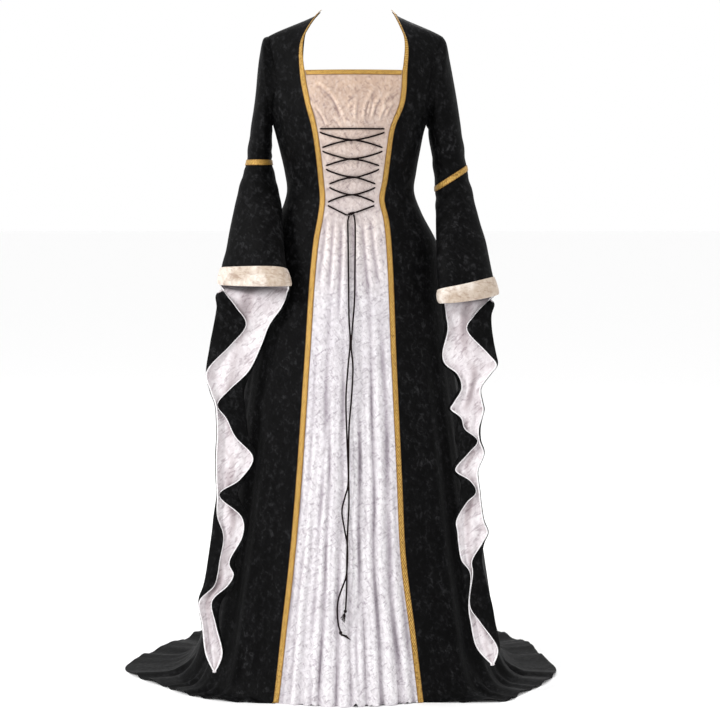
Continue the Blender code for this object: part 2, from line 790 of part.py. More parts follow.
def sleeveGrid(side):
    """The whole sleeve's rows, and the places of the armband's seam and of the cuff's edge."""
    grid = [armholeRing(side)[0]]
    for outX, outZ, inX, inZ, depth in upperSleeve[side]:
        grid.append(sleeveRing(Vector((outX, 0, outZ)), Vector((inX, 0, inZ)), depth))
    for outX, outY, outZ, inX, inY, inZ, depth in lowerSleeve[side]:
        ring = sleeveRing(Vector((outX, outY, outZ)), Vector((inX, inY, inZ)), depth)
        grid.append([clearOfSkirt(point, bodyClear) for point in ring])
    seam = len(upperSleeve[side])
    above = bandEdge(grid[seam], grid[seam - 1])
    below = bandEdge(grid[seam], grid[seam + 1])
    grid[seam:seam + 1] = [above, grid[seam], below]
    cuffTop = [p.lerp(q, cuffHeight(k)) for k, (p, q) in enumerate(zip(grid[-1], grid[-2]))]
    grid.insert(-1, cuffTop)
    hem = len(grid) - 1
    spare = grid[hem][1:ringSides // 2]
    for row in hangingPoint[side]:
        line = hangingRow(row)
        shift = max(point.y - clearOfSkirt(point, skirtClear).y for point in line)
        line = [point - Vector((0, shift, 0)) for point in line]
        grid.append([line[-1]] + spare + line[:-1])
    return grid, seam + 1, hem


def sleevePieces(side, word):
    """A sleeve: its upper and lower part, the armband, the lining and the turned-back cuff."""
    flip = side < 0
    half = ringSides // 2
    grid, seam, hem = sleeveGrid(side)
    facing = gridNormals(grid, True, flip)
    for r in range(hem + 1, len(grid)):
        tail = [line[half:] + [line[0]] for line in grid[r - 1:r + 2]]
        turned = gridNormals(tail, False, flip)[1]
        facing[r][half:] = turned[:-1]
        facing[r][0] = turned[-1]
    inner = moved(grid, facing, -cloth)
    for k, normal in enumerate(armholeRing(side)[1]):
        if normal:
            inner[0][k] = grid[0][k] - normal * cloth
    wall("sleeve_upper_" + word, grid[:seam + 1], inner[:seam + 1], "black_velvet", True, flip)

    lowerLayers = []
    for layer in (grid, inner):
        rows = layer[seam:]
        rows[0] = [p + (q - p).normalized() * seamGap for p, q in zip(rows[0], rows[1])]
        lowerLayers.append(rows)
    wall("sleeve_lower_" + word, *lowerLayers, "black_velvet", True, flip,
         used=lambda r, c: r < hem - seam or c >= half)

    start = hem - liningRows
    linings = [moved(grid, facing, -cloth - seamGap - deep)[start:] for deep in (0, liningWall)]
    wall("sleeve_lining_" + word, *linings, "silver_lining", True, flip,
         used=lambda r, c: r < liningRows or c >= half)

    band, bandFacing = grid[seam - 1:seam + 2], facing[seam - 1:seam + 2]
    wall("armband_" + word, moved(band, bandFacing, trimGap + trimWall),
         moved(band, bandFacing, trimGap), "gold_braid", True, flip)
    cuffPiece(word, grid[hem - 1:hem + 1], facing[hem - 1:hem + 1], flip)


def cuffPiece(word, rings, facing, flip):
    """The band turned back over the front of the sleeve's edge."""
    around = range(-1, ringSides // 2 + 2)
    layers = []
    for lift, middleLift in ((cuffWall + seamGap, cuffWall + cuffLift + cuffSwell), (seamGap, cuffLift)):
        grid = []
        for share, out in ((0.0, lift), (0.5, middleLift), (1.0, lift)):
            line = []
            for k in around:
                normal = facing[0][k].lerp(facing[1][k], share).normalized()
                line.append(rings[0][k].lerp(rings[1][k], share) + normal * out)
            grid.append(line)
        layers.append(grid)
    wall("cuff_" + word, *layers, "cream_velvet", flip=flip)


sleevePieces(-1, "right")
sleevePieces(1, "left")


# Gold braid over the front seams and round the neck, made from the panels' own points
def braid(name, grid, facing, used=None):
    """A strip of braid on some cells of a grid."""
    layers = []
    for lift in (trimGap + trimWall, trimGap):
        layers.append([[offFloor(p, floorZ) for p in line] for line in moved(grid, facing, lift)])
        if used or len(grid) > 2:
            rows = layers[-1]
            rows[0] = [p + (q - p).normalized() * seamGap / 2 for p, q in zip(rows[0], rows[1])]
    wall(name, *layers, "gold_braid", used=used)


def frontBraid(word, stretch, edge, inside, frontColumn):
    """Down a front seam, from the shoulder to the hem; above the panel it edges the neck."""
    grid = []
    facing = []
    for r in range(hemRow + 1):
        line, turned = outerBody[stretch][r], bodyNormals[stretch][r]
        panelPoint, panelNormal = outerBody[0][r][frontColumn], bodyNormals[0][r][frontColumn]
        if r < neckRow:
            panelPoint = line[edge] * 2 - line[inside]
            panelNormal = turned[edge]
        points = [panelPoint, line[edge], line[inside]]
        normals = [panelNormal, turned[edge], turned[inside]]
        if edge < 0:
            points.reverse()
            normals.reverse()
        grid.append(points)
        facing.append(normals)
    braid("trim_front_" + word, grid, facing)


def topBraid():
    """Along the panel's upper edge, between the two front braids."""
    rows = [trimmedEnds(trimmedEnds(line[1:-1])) for line in outerBody[0][neckRow:neckRow + 2]]
    braid("trim_top", rows, [line[1:-1] for line in bodyNormals[0][neckRow:neckRow + 2]])


def backNeckBraid():
    """Round the back of the neck, on the backs' upper edges."""
    grid = []
    facing = []
    for r in range(neckRow + 2):
        for source, lines in ((outerBody, grid), (bodyNormals, facing)):
            line = list(source[2][r])
            for i in (3, 4, 5):
                line += source[i][r][1:]
            lines.append(line)
    leftEdge = sideBackCells
    rightEdge = leftEdge + 2 * backCells

    def onEdge(r, c):
        if r < neckRow:
            return c in (leftEdge - 1, rightEdge)
        return leftEdge - 1 <= c <= rightEdge

    braid("trim_back_neck", grid, facing, onEdge)


frontBraid("left", 1, 0, 1, -2)
frontBraid("right", 6, -1, -2, 1)
topBraid()
backNeckBraid()


# The lace
def frontPoint(x, z, lift):
    """A point this far out from the front panel's facets."""
    grid, facing = outerBody[0], bodyNormals[0]
    r = max(k for k in range(neckRow, hemRow) if grid[k][0].z >= z)
    t = (grid[r][0].z - z) / (grid[r][0].z - grid[r + 1][0].z)
    line = [p.lerp(q, t) for p, q in zip(grid[r], grid[r + 1])]
    turned = [p.lerp(q, t) for p, q in zip(facing[r], facing[r + 1])]
    c = max(k for k in range(len(line) - 1) if line[k].x <= x)
    s = (x - line[c].x) / (line[c + 1].x - line[c].x)
    return line[c].lerp(line[c + 1], s) + turned[c].lerp(turned[c + 1], s).normalized() * lift


def cord(name, points, count):
    """A lace's tube through its route."""
    curve = bpy.data.curves.new(name, "CURVE")
    curve.dimensions = "3D"
    curve.bevel_depth = laceWide / 2
    curve.bevel_resolution = 2
    curve.use_fill_caps = True
    spline = curve.splines.new("POLY")
    route = smoothPath(points, count)
    spline.points.add(len(route) - 1)
    for place, point in zip(spline.points, route):
        place.co = (*point, 1)
    return addObject(name, curve, "dark_lace")


def laceRun(name, start, end, hop=0.0, steep=laceSteep):
    """A run of lace on the panel, steeper at its ends, lifted where it passes over another."""
    points = []
    for i in range(runPoints):
        t = i / (runPoints - 1)
        swing = 2 * t - 1
        share = 0.5 + 0.5 * math.copysign(abs(swing) ** steep, swing)
        x = start[0] + (end[0] - start[0]) * t
        z = start[1] + (end[1] - start[1]) * share
        over = hop * math.exp(-(swing / hopSpread) ** 2)
        points.append(frontPoint(x, z, laceLift + over))
    cord(name, points, runPoints)


def lacing():
    barZ = eyelets[0][0] + barRise
    laceRun("lace_bar", (eyelets[0][1], barZ), (eyelets[0][2], barZ), steep=1.0)
    for k in range(len(eyelets) - 1):
        high, low = eyelets[k], eyelets[k + 1]
        highZ, lowZ = high[0] - eyeletStep, low[0] + eyeletStep
        overRight = laceHop if k % 2 else 0.0
        laceRun("lace_cross_%d_right" % (k + 1), (high[1], highZ), (low[2], lowZ), overRight)
        laceRun("lace_cross_%d_left" % (k + 1), (high[2], highZ), (low[1], lowZ), laceHop - overRight)
    low = eyelets[-1]
    knotX, knotZ = knotCentre
    for word, x, sign in (("right", low[1], -1), ("left", low[2], 1)):
        end = (knotX + sign * knotHalf, knotZ - sign * knotTilt)
        laceRun("lace_to_knot_" + word, (x, low[0] - eyeletStep), end, steep=1.0)


def ball(name, centre, reach, rings=5, sides=10):
    """A knot: a round solid, longer along its reach."""
    length = reach[0].length
    along1 = reach[0].normalized()
    across = Vector((0, 1, 0))
    third = along1.cross(across).normalized()
    points = [centre - along1 * length]
    for i in range(1, rings):
        turn = math.pi * i / rings
        for k in range(sides):
            around = 2 * math.pi * k / sides
            wide = reach[1] * math.sin(turn)
            points.append(centre - along1 * length * math.cos(turn)
                          + (across * math.cos(around) + third * math.sin(around)) * wide)
    points.append(centre + along1 * length)
    faces = []
    for k in range(sides):
        after = (k + 1) % sides
        faces.append([0, 1 + after, 1 + k])
        for i in range(rings - 2):
            a, b = 1 + i * sides, 1 + (i + 1) * sides
            faces.append([a + k, a + after, b + after, b + k])
        last = 1 + (rings - 2) * sides
        faces.append([last + k, last + after, len(points) - 1])
    meshObject(name, points, faces, "dark_lace")


def freeEnds():
    """The knot at the waist, and the two long ends with their small knots and frayed tips."""
    knotX, knotZ = knotCentre
    knot = frontPoint(knotX, knotZ, knotThick + trimGap)
    tilt = Vector((knotHalf - trimGap, 0, -knotTilt))
    ball("lace_knot", knot, (tilt, knotThick))
    for side, word, lift in ((-1, "right", 0.0), (1, "left", laceHop)):
        x, z = laceStarts[side]
        route = [Vector((x, knot.y, z))]
        for x, z in laceEnds[side]:
            ridge = max(0.0, min(1.0, (ridgeTop - z) / ridgeGrow)) * endRidge
            grown = min(1.0, (route[0].z - z) / liftGrow)
            route.append(Vector((x, -section(z)[1] - ridge - endLift - lift * grown, z)))
        cord("lace_end_" + word, route, endPoints)
        x, z, size = knots[side]
        last = route[-1]
        down = (Vector((x, last.y, z)) - last).normalized()
        centre = last + down * (size + knotGap)
        ball("lace_end_knot_" + word, centre, (down * size, size * knotNarrow), 4, 8)
        tip = centre + down * (size + trimGap)
        strands = [tip, tip + down * laceWide / 2]
        for fx, fz in frays[side]:
            strands.append(Vector((fx, last.y, fz)))
        cord("lace_tip_" + word, strands, tipPoints)


lacing()
freeEnds()
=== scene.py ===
import math
import bpy
import numpy as np
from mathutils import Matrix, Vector


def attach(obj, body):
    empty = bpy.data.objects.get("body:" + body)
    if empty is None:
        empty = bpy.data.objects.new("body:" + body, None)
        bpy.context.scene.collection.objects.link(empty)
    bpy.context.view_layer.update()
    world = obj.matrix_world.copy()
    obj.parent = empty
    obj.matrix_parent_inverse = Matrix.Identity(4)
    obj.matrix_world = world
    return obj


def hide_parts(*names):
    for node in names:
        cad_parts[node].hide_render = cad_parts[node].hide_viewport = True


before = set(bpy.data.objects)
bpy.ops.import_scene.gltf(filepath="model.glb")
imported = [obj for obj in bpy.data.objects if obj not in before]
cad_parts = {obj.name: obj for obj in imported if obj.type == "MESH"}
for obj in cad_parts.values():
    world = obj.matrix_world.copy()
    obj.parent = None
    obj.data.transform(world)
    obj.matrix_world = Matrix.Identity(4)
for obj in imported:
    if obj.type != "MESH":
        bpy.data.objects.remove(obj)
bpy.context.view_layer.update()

# the camera, and the floor's height
view = {
    "place": (0.0197, -4.0, -0.395),  # 1.05 m above the floor
    "pitchDown": 5.135,               # degrees
    "lens": 91.45,
}
floorZ = -1.445
camera = bpy.data.objects.new("camera", bpy.data.cameras.new("camera"))
bpy.context.scene.collection.objects.link(camera)
camera.location = view["place"]
camera.rotation_euler = (math.radians(90 - view["pitchDown"]), 0, 0)
camera.data.lens = view["lens"]
camera.data.sensor_width = 36
bpy.context.scene.camera = camera

# the body's sections and seams, as in the part
body = {
    "cloth": 0.0015,
    "seamGap": 0.0003,
    "armpitZ": -0.243,
    "hipZ": -0.503,
    "kneeZ": -1.345,         # the skirt starts to sweep out here
    "neckShare": 0.465,
    "shoulderRound": 0.45,
    "shoulderTipZ": -0.052,
    "shoulderBow": 0.72,
    "landingShare": 0.55,
    "sections": [
        # z, halfWidth, front, back, middle
        (0.000, 0.205, 0.075, 0.080, 0.012),
        (-0.060, 0.205, 0.085, 0.095, 0.009),
        (-0.130, 0.200, 0.099, 0.102, 0.006),
        (-0.200, 0.183, 0.119, 0.100, 0.001),
        (-0.243, 0.166, 0.123, 0.095, -0.003),
        (-0.300, 0.152, 0.119, 0.088, -0.002),
        (-0.345, 0.143, 0.106, 0.083, -0.001),
        (-0.385, 0.1385, 0.097, 0.081, -0.001),
        (-0.430, 0.153, 0.100, 0.092, 0.000),
        (-0.503, 0.190, 0.113, 0.115, 0.000),
        (-0.600, 0.206, 0.133, 0.140, -0.001),
        (-1.445, 0.340, 0.310, 0.360, -0.006),
    ],
    "frontSeams": [
        # z, right, left
        (0.000, -0.066, 0.090),
        (-0.033, -0.088, 0.105),
        (-0.066, -0.103, 0.117),
        (-0.130, -0.103, 0.115),
        (-0.200, -0.090, 0.108),
        (-0.250, -0.077, 0.089),
        (-0.305, -0.0685, 0.080),
        (-0.360, -0.063, 0.073),
        (-0.404, -0.060, 0.066),
        (-0.445, -0.065, 0.075),
        (-0.489, -0.073, 0.080),
        (-0.745, -0.092, 0.091),
        (-0.987, -0.108, 0.102),
        (-1.152, -0.122, 0.110),
        (-1.295, -0.138, 0.128),
        (-1.445, -0.154, 0.146),
    ],
    "backNeck": [(0.000, 0.078), (-0.014, 0.095), (-0.035, 0.108), (-0.066, 0.113), (-0.130, 0.113)],
    "armhole": [
        (0.000, 0.00), (0.150, 0.34), (0.310, 0.47), (0.465, 0.545), (0.640, 0.54),
        (0.790, 0.50), (0.900, 0.46), (1.000, 0.41),
    ],
    "trainReach": [
        # degrees from the front, reach on the floor
        (-180, 0.260), (-160, 0.235), (-136, 0.150), (-120, 0.122), (-103, 0.139), (-90, 0.158),
        (-79, 0.125), (-68, 0.090), (-55, 0.073), (-41, 0.046), (-25, 0.004), (0, 0.000), (27, 0.000),
        (40, 0.052), (49, 0.098), (58, 0.092), (71, 0.105), (89, 0.122), (102, 0.112), (118, 0.128),
        (132, 0.135), (160, 0.225), (180, 0.260),
    ],
}

# share across, depth at the hem, where the fold starts
folds = {
    "front": [
        (0.075, 0.008, -0.95), (0.185, 0.012, -0.62), (0.300, 0.009, -0.80), (0.410, 0.010, -0.70),
        (0.520, 0.008, -0.90), (0.625, 0.013, -0.60), (0.740, 0.010, -0.78), (0.850, 0.012, -0.66),
        (0.940, 0.007, -1.00),
    ],
    "side": [(0.16, 0.012, -0.70), (0.39, 0.018, -0.58), (0.62, 0.014, -0.75), (0.86, 0.018, -0.62)],
    "sideBack": [(0.22, 0.016, -0.60), (0.68, 0.020, -0.55)],
    "back": [(0.20, 0.018, -0.62), (0.52, 0.022, -0.54), (0.84, 0.018, -0.66)],
}
fineRows = {"upper": 44, "middle": 44, "straight": 88, "sweep": 44}
fineColumns = {"front": 132, "side": 84, "sideBack": 44, "back": 60}


def along(table, column, at, smooth=True):  # the value of a table's column at a key
    keys = [row[0] for row in table]
    values = [row[column] for row in table]
    if keys[0] > keys[-1]:
        keys.reverse()
        values.reverse()
    if at <= keys[0]:
        return values[0]
    if at >= keys[-1]:
        return values[-1]
    i = max(k for k in range(len(keys) - 1) if keys[k] <= at)
    span = keys[i + 1] - keys[i]
    t = (at - keys[i]) / span
    if not smooth:
        return values[i] + (values[i + 1] - values[i]) * t
    rise = (values[i + 1] - values[i]) / span
    before = rise if i == 0 else (values[i] - values[i - 1]) / (keys[i] - keys[i - 1])
    after = rise if i + 2 == len(keys) else (values[i + 2] - values[i + 1]) / (keys[i + 2] - keys[i + 1])
    m0 = 0.5 * (before + rise) * span if i else rise * span
    m1 = 0.5 * (after + rise) * span if i + 2 < len(keys) else rise * span
    t2, t3 = t * t, t * t * t
    return (values[i] * (2 * t3 - 3 * t2 + 1) + m0 * (t3 - 2 * t2 + t)
            + values[i + 1] * (3 * t2 - 2 * t3) + m1 * (t3 - t2))


sectionsSeen = {}


def section(z):
    if z not in sectionsSeen:
        sectionsSeen[z] = [along(body["sections"], column, z, z > -0.6) for column in (1, 2, 3, 4)]
    return sectionsSeen[z]


def bodyPoint(angle, z, closing=1.0):  # angle 0 at the front, 90 degrees at the left side
    width, front, back, middle = section(z)
    depth = front if math.cos(angle) > 0 else back
    return (middle + width * math.sin(angle), -depth * closing * math.cos(angle), z)


def angleAt(x, z):
    width, front, back, middle = section(z)
    return math.asin(max(-1.0, min(1.0, (x - middle) / width)))


edgesSeen = {}


def edgeAngles(level, up):  # both front seams, the side or armhole, and the back neck line
    if (level, up) not in edgesSeen:
        right = angleAt(along(body["frontSeams"], 1, level), level)
        left = angleAt(along(body["frontSeams"], 2, level), level)
        neckLevel = max(level, body["backNeck"][-1][0])
        backOut = math.pi - math.asin(along(body["backNeck"], 1, neckLevel) / section(neckLevel)[0])
        side = math.acos(along(body["armhole"], 1, up)) if up > 0 else math.pi / 2
        edgesSeen[(level, up)] = (right, left, side, backOut)
    return edgesSeen[(level, up)]


def columnAngle(name, side, share, level, up=0.0):
    right, left, sideAngle, backOut = edgeAngles(level, up)
    if name == "front":
        return right + (left - right) * share
    inner = left if side > 0 else -right
    if name == "side":
        return side * (inner + (sideAngle - inner) * share)
    if name == "sideBack":
        return side * (math.pi - sideAngle + (backOut - math.pi + sideAngle) * share)
    return side * (backOut + (math.pi - backOut) * share)


def upperPoint(name, side, share, up):
    top = 0.0
    if name == "side":
        top = body["shoulderTipZ"] * share ** body["shoulderBow"]
    if name == "sideBack":
        top = body["shoulderTipZ"] * (1 - share) ** body["shoulderBow"]
    z = body["armpitZ"] + (top - body["armpitZ"]) * up
    closing = 1.0
    if up > body["shoulderRound"]:
        over = (up - body["shoulderRound"]) / (1 - body["shoulderRound"])
        closing = math.sqrt(max(0.0, 1 - over * over))
    return bodyPoint(columnAngle(name, side, share, body["armpitZ"] * (1 - up), up), z, closing)


def evenly(dense, count):
    dense = np.asarray(dense)
    steps = np.linalg.norm(np.diff(dense, axis=0), axis=1)
    run = np.concatenate([[0], np.cumsum(steps)])
    goals = np.linspace(0, run[-1], count)
    return np.stack([np.interp(goals, run, dense[:, k]) for k in range(3)], axis=1)


def skirtLine(name, side, share):  # down the cone, then out along the floor
    line = []
    for step in range(1, fineRows["straight"] + 1):
        z = body["hipZ"] + (body["kneeZ"] - body["hipZ"]) * step / fineRows["straight"]
        line.append(bodyPoint(columnAngle(name, side, share, z), z))
    angle = columnAngle(name, side, share, floorZ)
    foot = np.array(bodyPoint(angle, floorZ))
    reach = along(body["trainReach"], 1, (math.degrees(angle) + 180) % 360 - 180)
    away = np.array((math.sin(angle), -math.cos(angle), 0))
    landing = foot + away * reach * body["landingShare"]
    hem = foot + away * reach
    knee = np.array(line[-1])
    dense = []
    for step in range(33):
        t = step / 32
        dense.append(knee * (1 - t) ** 2 + foot * 2 * t * (1 - t) + landing * t * t)
    dense += [landing + (hem - landing) * (step + 1) / 6 for step in range(6)]
    return line + list(evenly(dense, fineRows["sweep"] + 1)[1:])


# the rows from the shoulder down: the neck and the armpit each fall on one
neckUps = np.linspace(1, body["neckShare"], 25)
armUps = np.linspace(body["neckShare"], 0, fineRows["upper"] - 24)
ups = list(neckUps) + list(armUps[1:])
neckRow = 24
armpitRow = len(ups) - 1
middleZ = np.linspace(body["armpitZ"], body["hipZ"], fineRows["middle"] + 1)[1:]
hipRow = armpitRow + fineRows["middle"]


def stretchGrid(name, side, shares):
    grid = [[upperPoint(name, side, share, up) for share in shares] for up in ups]
    for z in middleZ:
        z = float(z)
        grid.append([bodyPoint(columnAngle(name, side, share, z), z) for share in shares])
    lines = [skirtLine(name, side, share) for share in shares]
    grid += [list(row) for row in zip(*lines)]
    return np.array(grid)


def gridNormals(grid, closed=False):  # rows run down, columns towards the wearer's left
    down = np.gradient(grid, axis=0)
    if closed:
        across = np.roll(grid, -1, axis=1) - np.roll(grid, 1, axis=1)
    else:
        across = np.gradient(grid, axis=1)
    facing = np.cross(down, across)
    length = np.linalg.norm(facing, axis=2, keepdims=True)
    return facing / np.maximum(length, 1e-12)


def wobble(a, b, seed):  # a slow unevenness between -1 and 1
    return (np.sin(a + seed) * 0.5 + np.sin(a * 2.3 + b * 0.7 + seed * 1.7) * 0.3
            + np.sin(a * 4.1 - b * 1.3 + seed * 2.9) * 0.2)


def bell(off):  # 1 in the middle, and nearly 0 from twice the half width
    return np.exp(-off ** 2)


def standing(upward):  # 1 where the cloth stands, 0 where it lies on the floor
    return np.clip(1 - upward * 1.2, 0, 1)


foldShape = {
    "groove": 0.62,     # below 1 the troughs are narrower than the ridges
    "fine": 0.0016,     # the small gathers between the folds
    "fineCount": 71,    # radians of gathers across a panel
    "fineTop": -0.55,
    "fineGrowth": 0.7,
    "wander": 0.010,    # how far a fold wanders sideways on its way down
}
troughShape = {
    "swing": (9, 40),      # a trough swings sideways on its way down: radians a metre, and its start
    "waver": (23, 17),
    "waverSize": 0.5,
    "growth": 0.22,        # it deepens over this far below its top
    "uneven": (31, 63),
    "bank": (0.35, 2.4),   # the cloth stands up beside it: share of its depth, half widths away
    "light": (0.4, 2.2),
    "shadowHalf": 0.9,
}
# narrow troughs pressed into the panel: share across, wander, half width (m), depth (m), top z, shadow
troughs = [
    (0.035, 0.004, 0.0035, 0.0028, -0.70, 0.35), (0.100, 0.006, 0.0040, 0.0040, -0.62, 0.50),
    (0.160, 0.005, 0.0035, 0.0026, -0.88, 0.35), (0.238, 0.010, 0.0055, 0.0055, -0.54, 0.80),
    (0.302, 0.008, 0.0035, 0.0045, -0.66, 0.70), (0.372, 0.010, 0.0030, 0.0022, -0.93, 0.30),
    (0.430, 0.012, 0.0040, 0.0030, -0.56, 0.45), (0.505, 0.008, 0.0030, 0.0020, -0.98, 0.30),
    (0.585, 0.018, 0.0040, 0.0062, -0.72, 0.95), (0.665, 0.008, 0.0032, 0.0026, -0.60, 0.35),
    (0.734, 0.010, 0.0045, 0.0050, -0.52, 0.75), (0.805, 0.008, 0.0030, 0.0024, -0.84, 0.35),
    (0.880, 0.010, 0.0060, 0.0065, -0.58, 0.95), (0.955, 0.005, 0.0035, 0.0030, -0.76, 0.45),
]
# where the panel's hem stands up off the floor: share across, half its width, height (m)
hemLifts = [(0.262, 0.030, 0.004), (0.548, 0.020, 0.010), (0.655, 0.016, 0.008), (0.905, 0.022, 0.011)]
hemRows = 10  # the rows that a lift takes up


def troughDepth(shares, grid):  # what the troughs take away, and the painted shadow in them, with painted light on their banks
    z = grid[..., 2]
    width = np.linalg.norm(grid[:, -1] - grid[:, 0], axis=1)[:, None]
    depth, shadow = np.zeros(z.shape), np.zeros(z.shape)
    for share, wander, half, deep, top, dark in troughs:
        swing, waver, uneven = [np.sin(z * troughShape[word][0] + share * troughShape[word][1])
                                for word in ("swing", "waver", "uneven")]
        middle = share + wander * swing + wander * troughShape["waverSize"] * waver
        off = (shares[None, :] - middle) * width
        strength = np.clip((top - z) / troughShape["growth"], 0, 1) ** 1.5 * (0.75 + 0.25 * uneven)
        bank, light = [part * bell((np.abs(off) - half * away) / half)
                       for part, away in (troughShape["bank"], troughShape["light"])]
        depth += deep * strength * (bell(off / half) - bank)
        shadow += dark * strength * (bell(off / half / troughShape["shadowHalf"]) - light)
    return depth, shadow


def foldDepth(name, shares, z, upward, seed):  # how far the folds move the cloth out
    places, pushes = [0.0], [np.zeros(z.shape[0])]
    table = folds[name]
    level = z.mean(axis=1)
    for i, (share, depth, top) in enumerate(table):
        start = np.clip((top - level) / (top - body["kneeZ"]), 0, 1)
        if i:
            lastShare, lastDepth, lastTop = table[i - 1]
            ridgeTop = (lastTop + top) / 2
            ridgeStart = np.clip((ridgeTop - level) / (ridgeTop - body["kneeZ"]), 0, 1)
            places.append((lastShare + share) / 2)
            pushes.append((lastDepth + depth) / 4 * ridgeStart)
        places.append(share)
        pushes.append(-depth / 2 * start)
    places.append(1.0)
    pushes.append(np.zeros(z.shape[0]))
    places = np.array(places)
    out = np.zeros(z.shape)
    for r in range(z.shape[0]):
        inside = np.sin(np.pi * shares)
        moved = shares + foldShape["wander"] * inside * wobble(shares * 9, level[r] * 7, seed)
        k = np.clip(np.searchsorted(places, moved, side="right") - 1, 0, len(places) - 2)
        t = (moved - places[k]) / (places[k + 1] - places[k])
        values = np.array([push[r] for push in pushes])
        rising = values[k + 1] > values[k]
        t = np.where(rising, t ** foldShape["groove"], 1 - (1 - np.clip(t, 0, 1)) ** foldShape["groove"])
        t = np.clip(t, 0, 1)
        t = t * t * (3 - 2 * t)
        out[r] = values[k] + (values[k + 1] - values[k]) * t
    grown = np.clip((foldShape["fineTop"] - z) / foldShape["fineGrowth"], 0, 1)
    gathers = shares * foldShape["fineCount"] + 2.2 * wobble(shares * 5, z * 6, seed + 1)
    fine = np.sin(gathers) * np.sin(np.pi * shares) ** 0.5
    out = out + foldShape["fine"] * grown * fine * (0.6 + 0.4 * wobble(shares * 3, z * 11, seed + 2))
    settle = standing(upward)  # on the floor a fold only lifts the cloth
    return out * settle + np.abs(out) * (1 - settle)


# the soft creases: from, through and to (x, z), width, height
creases = {
    "front": [
        ((-0.076, -0.158), (-0.037, -0.184), (-0.010, -0.246), 0.0026, 0.0026),
        ((-0.066, -0.166), (-0.036, -0.192), (-0.018, -0.238), 0.0022, 0.0018),
        ((-0.078, -0.205), (-0.062, -0.222), (-0.048, -0.252), 0.0024, 0.0020),
        ((-0.088, -0.196), (-0.076, -0.214), (-0.066, -0.244), 0.0026, 0.0014),
        ((-0.040, -0.228), (-0.028, -0.238), (-0.019, -0.252), 0.0024, 0.0016),
        ((-0.010, -0.196), (-0.002, -0.186), (0.004, -0.180), 0.0026, 0.0018),
        ((-0.006, -0.211), (0.000, -0.203), (0.006, -0.197), 0.0026, 0.0018),
        ((0.008, -0.238), (0.009, -0.216), (0.012, -0.190), 0.0030, 0.0014),
        ((0.026, -0.236), (0.032, -0.200), (0.050, -0.166), 0.0032, 0.0020),
        ((0.034, -0.226), (0.040, -0.206), (0.042, -0.186), 0.0026, 0.0014),
        ((0.044, -0.232), (0.050, -0.206), (0.061, -0.188), 0.0030, 0.0019),
        ((0.060, -0.236), (0.066, -0.218), (0.078, -0.200), 0.0028, 0.0016),
        ((0.066, -0.206), (0.074, -0.190), (0.086, -0.176), 0.0028, 0.0016),
        ((0.074, -0.230), (0.080, -0.212), (0.090, -0.198), 0.0026, 0.0016),
        ((-0.014, -0.262), (-0.006, -0.276), (0.006, -0.290), 0.0020, -0.0012),
        ((-0.046, -0.276), (-0.030, -0.282), (-0.016, -0.279), 0.0026, 0.0009),
        ((0.026, -0.280), (0.040, -0.276), (0.056, -0.279), 0.0026, 0.0008),
        ((-0.036, -0.318), (-0.020, -0.322), (-0.008, -0.314), 0.0024, 0.0008),
        ((0.014, -0.312), (0.016, -0.324), (0.012, -0.336), 0.0024, -0.0009),
        ((-0.030, -0.352), (-0.020, -0.360), (-0.004, -0.358), 0.0024, 0.0008),
        ((0.020, -0.354), (0.030, -0.360), (0.044, -0.357), 0.0024, 0.0007),
        ((-0.046, -0.442), (-0.050, -0.500), (-0.062, -0.590), 0.0048, 0.0016),
        ((-0.030, -0.445), (-0.034, -0.520), (-0.040, -0.600), 0.0044, 0.0018),
        ((-0.012, -0.452), (-0.014, -0.540), (-0.018, -0.660), 0.0046, 0.0018),
        ((0.014, -0.452), (0.016, -0.530), (0.022, -0.640), 0.0044, 0.0018),
        ((0.032, -0.446), (0.038, -0.520), (0.047, -0.610), 0.0046, 0.0018),
        ((0.050, -0.440), (0.056, -0.500), (0.068, -0.590), 0.0048, 0.0016),
    ],
    "side": [
        ((0.118, -0.235), (0.098, -0.280), (0.086, -0.335), 0.0070, 0.0016),
        ((0.128, -0.350), (0.110, -0.376), (0.092, -0.390), 0.0060, 0.0020),
        ((0.130, -0.397), (0.110, -0.396), (0.090, -0.402), 0.0055, 0.0020),
        ((0.140, -0.428), (0.116, -0.414), (0.092, -0.412), 0.0060, 0.0018),
        ((0.152, -0.172), (0.142, -0.196), (0.126, -0.212), 0.0070, 0.0020),
    ],
    "back": [
        ((0.020, -0.375), (0.060, -0.386), (0.105, -0.383), 0.0060, 0.0018),
        ((0.015, -0.398), (0.060, -0.408), (0.112, -0.402), 0.0060, 0.0020),
        ((0.030, -0.425), (0.066, -0.430), (0.105, -0.418), 0.0060, 0.0018),
        ((0.056, -0.196), (0.074, -0.230), (0.104, -0.252), 0.0080, 0.0018),
        ((0.030, -0.300), (0.060, -0.330), (0.098, -0.345), 0.0080, 0.0014),
    ],
}
creaseShape = {
    "pieces": 12,        # straight pieces that its curve is measured along
    "ends": (5, 0.15),   # how fast it rises from its ends, and its height there
    "hollow": (0.6, 1.7),  # the hollow beside it: share of its height, widths away
    "paintedShade": 0.0019,    # a crease this high gets the lightest painted highlight on its crest
}
# painted shade from the folds' depth, and the strip beside each seam that stays smooth
foldShadeAndSeam = {
    "fold": 0.014,       # a fold this deep gets the full painted shade in its trough
    "foldPart": 0.7,
    "seam": 0.03,        # share of a panel beside each seam that stays smooth
}


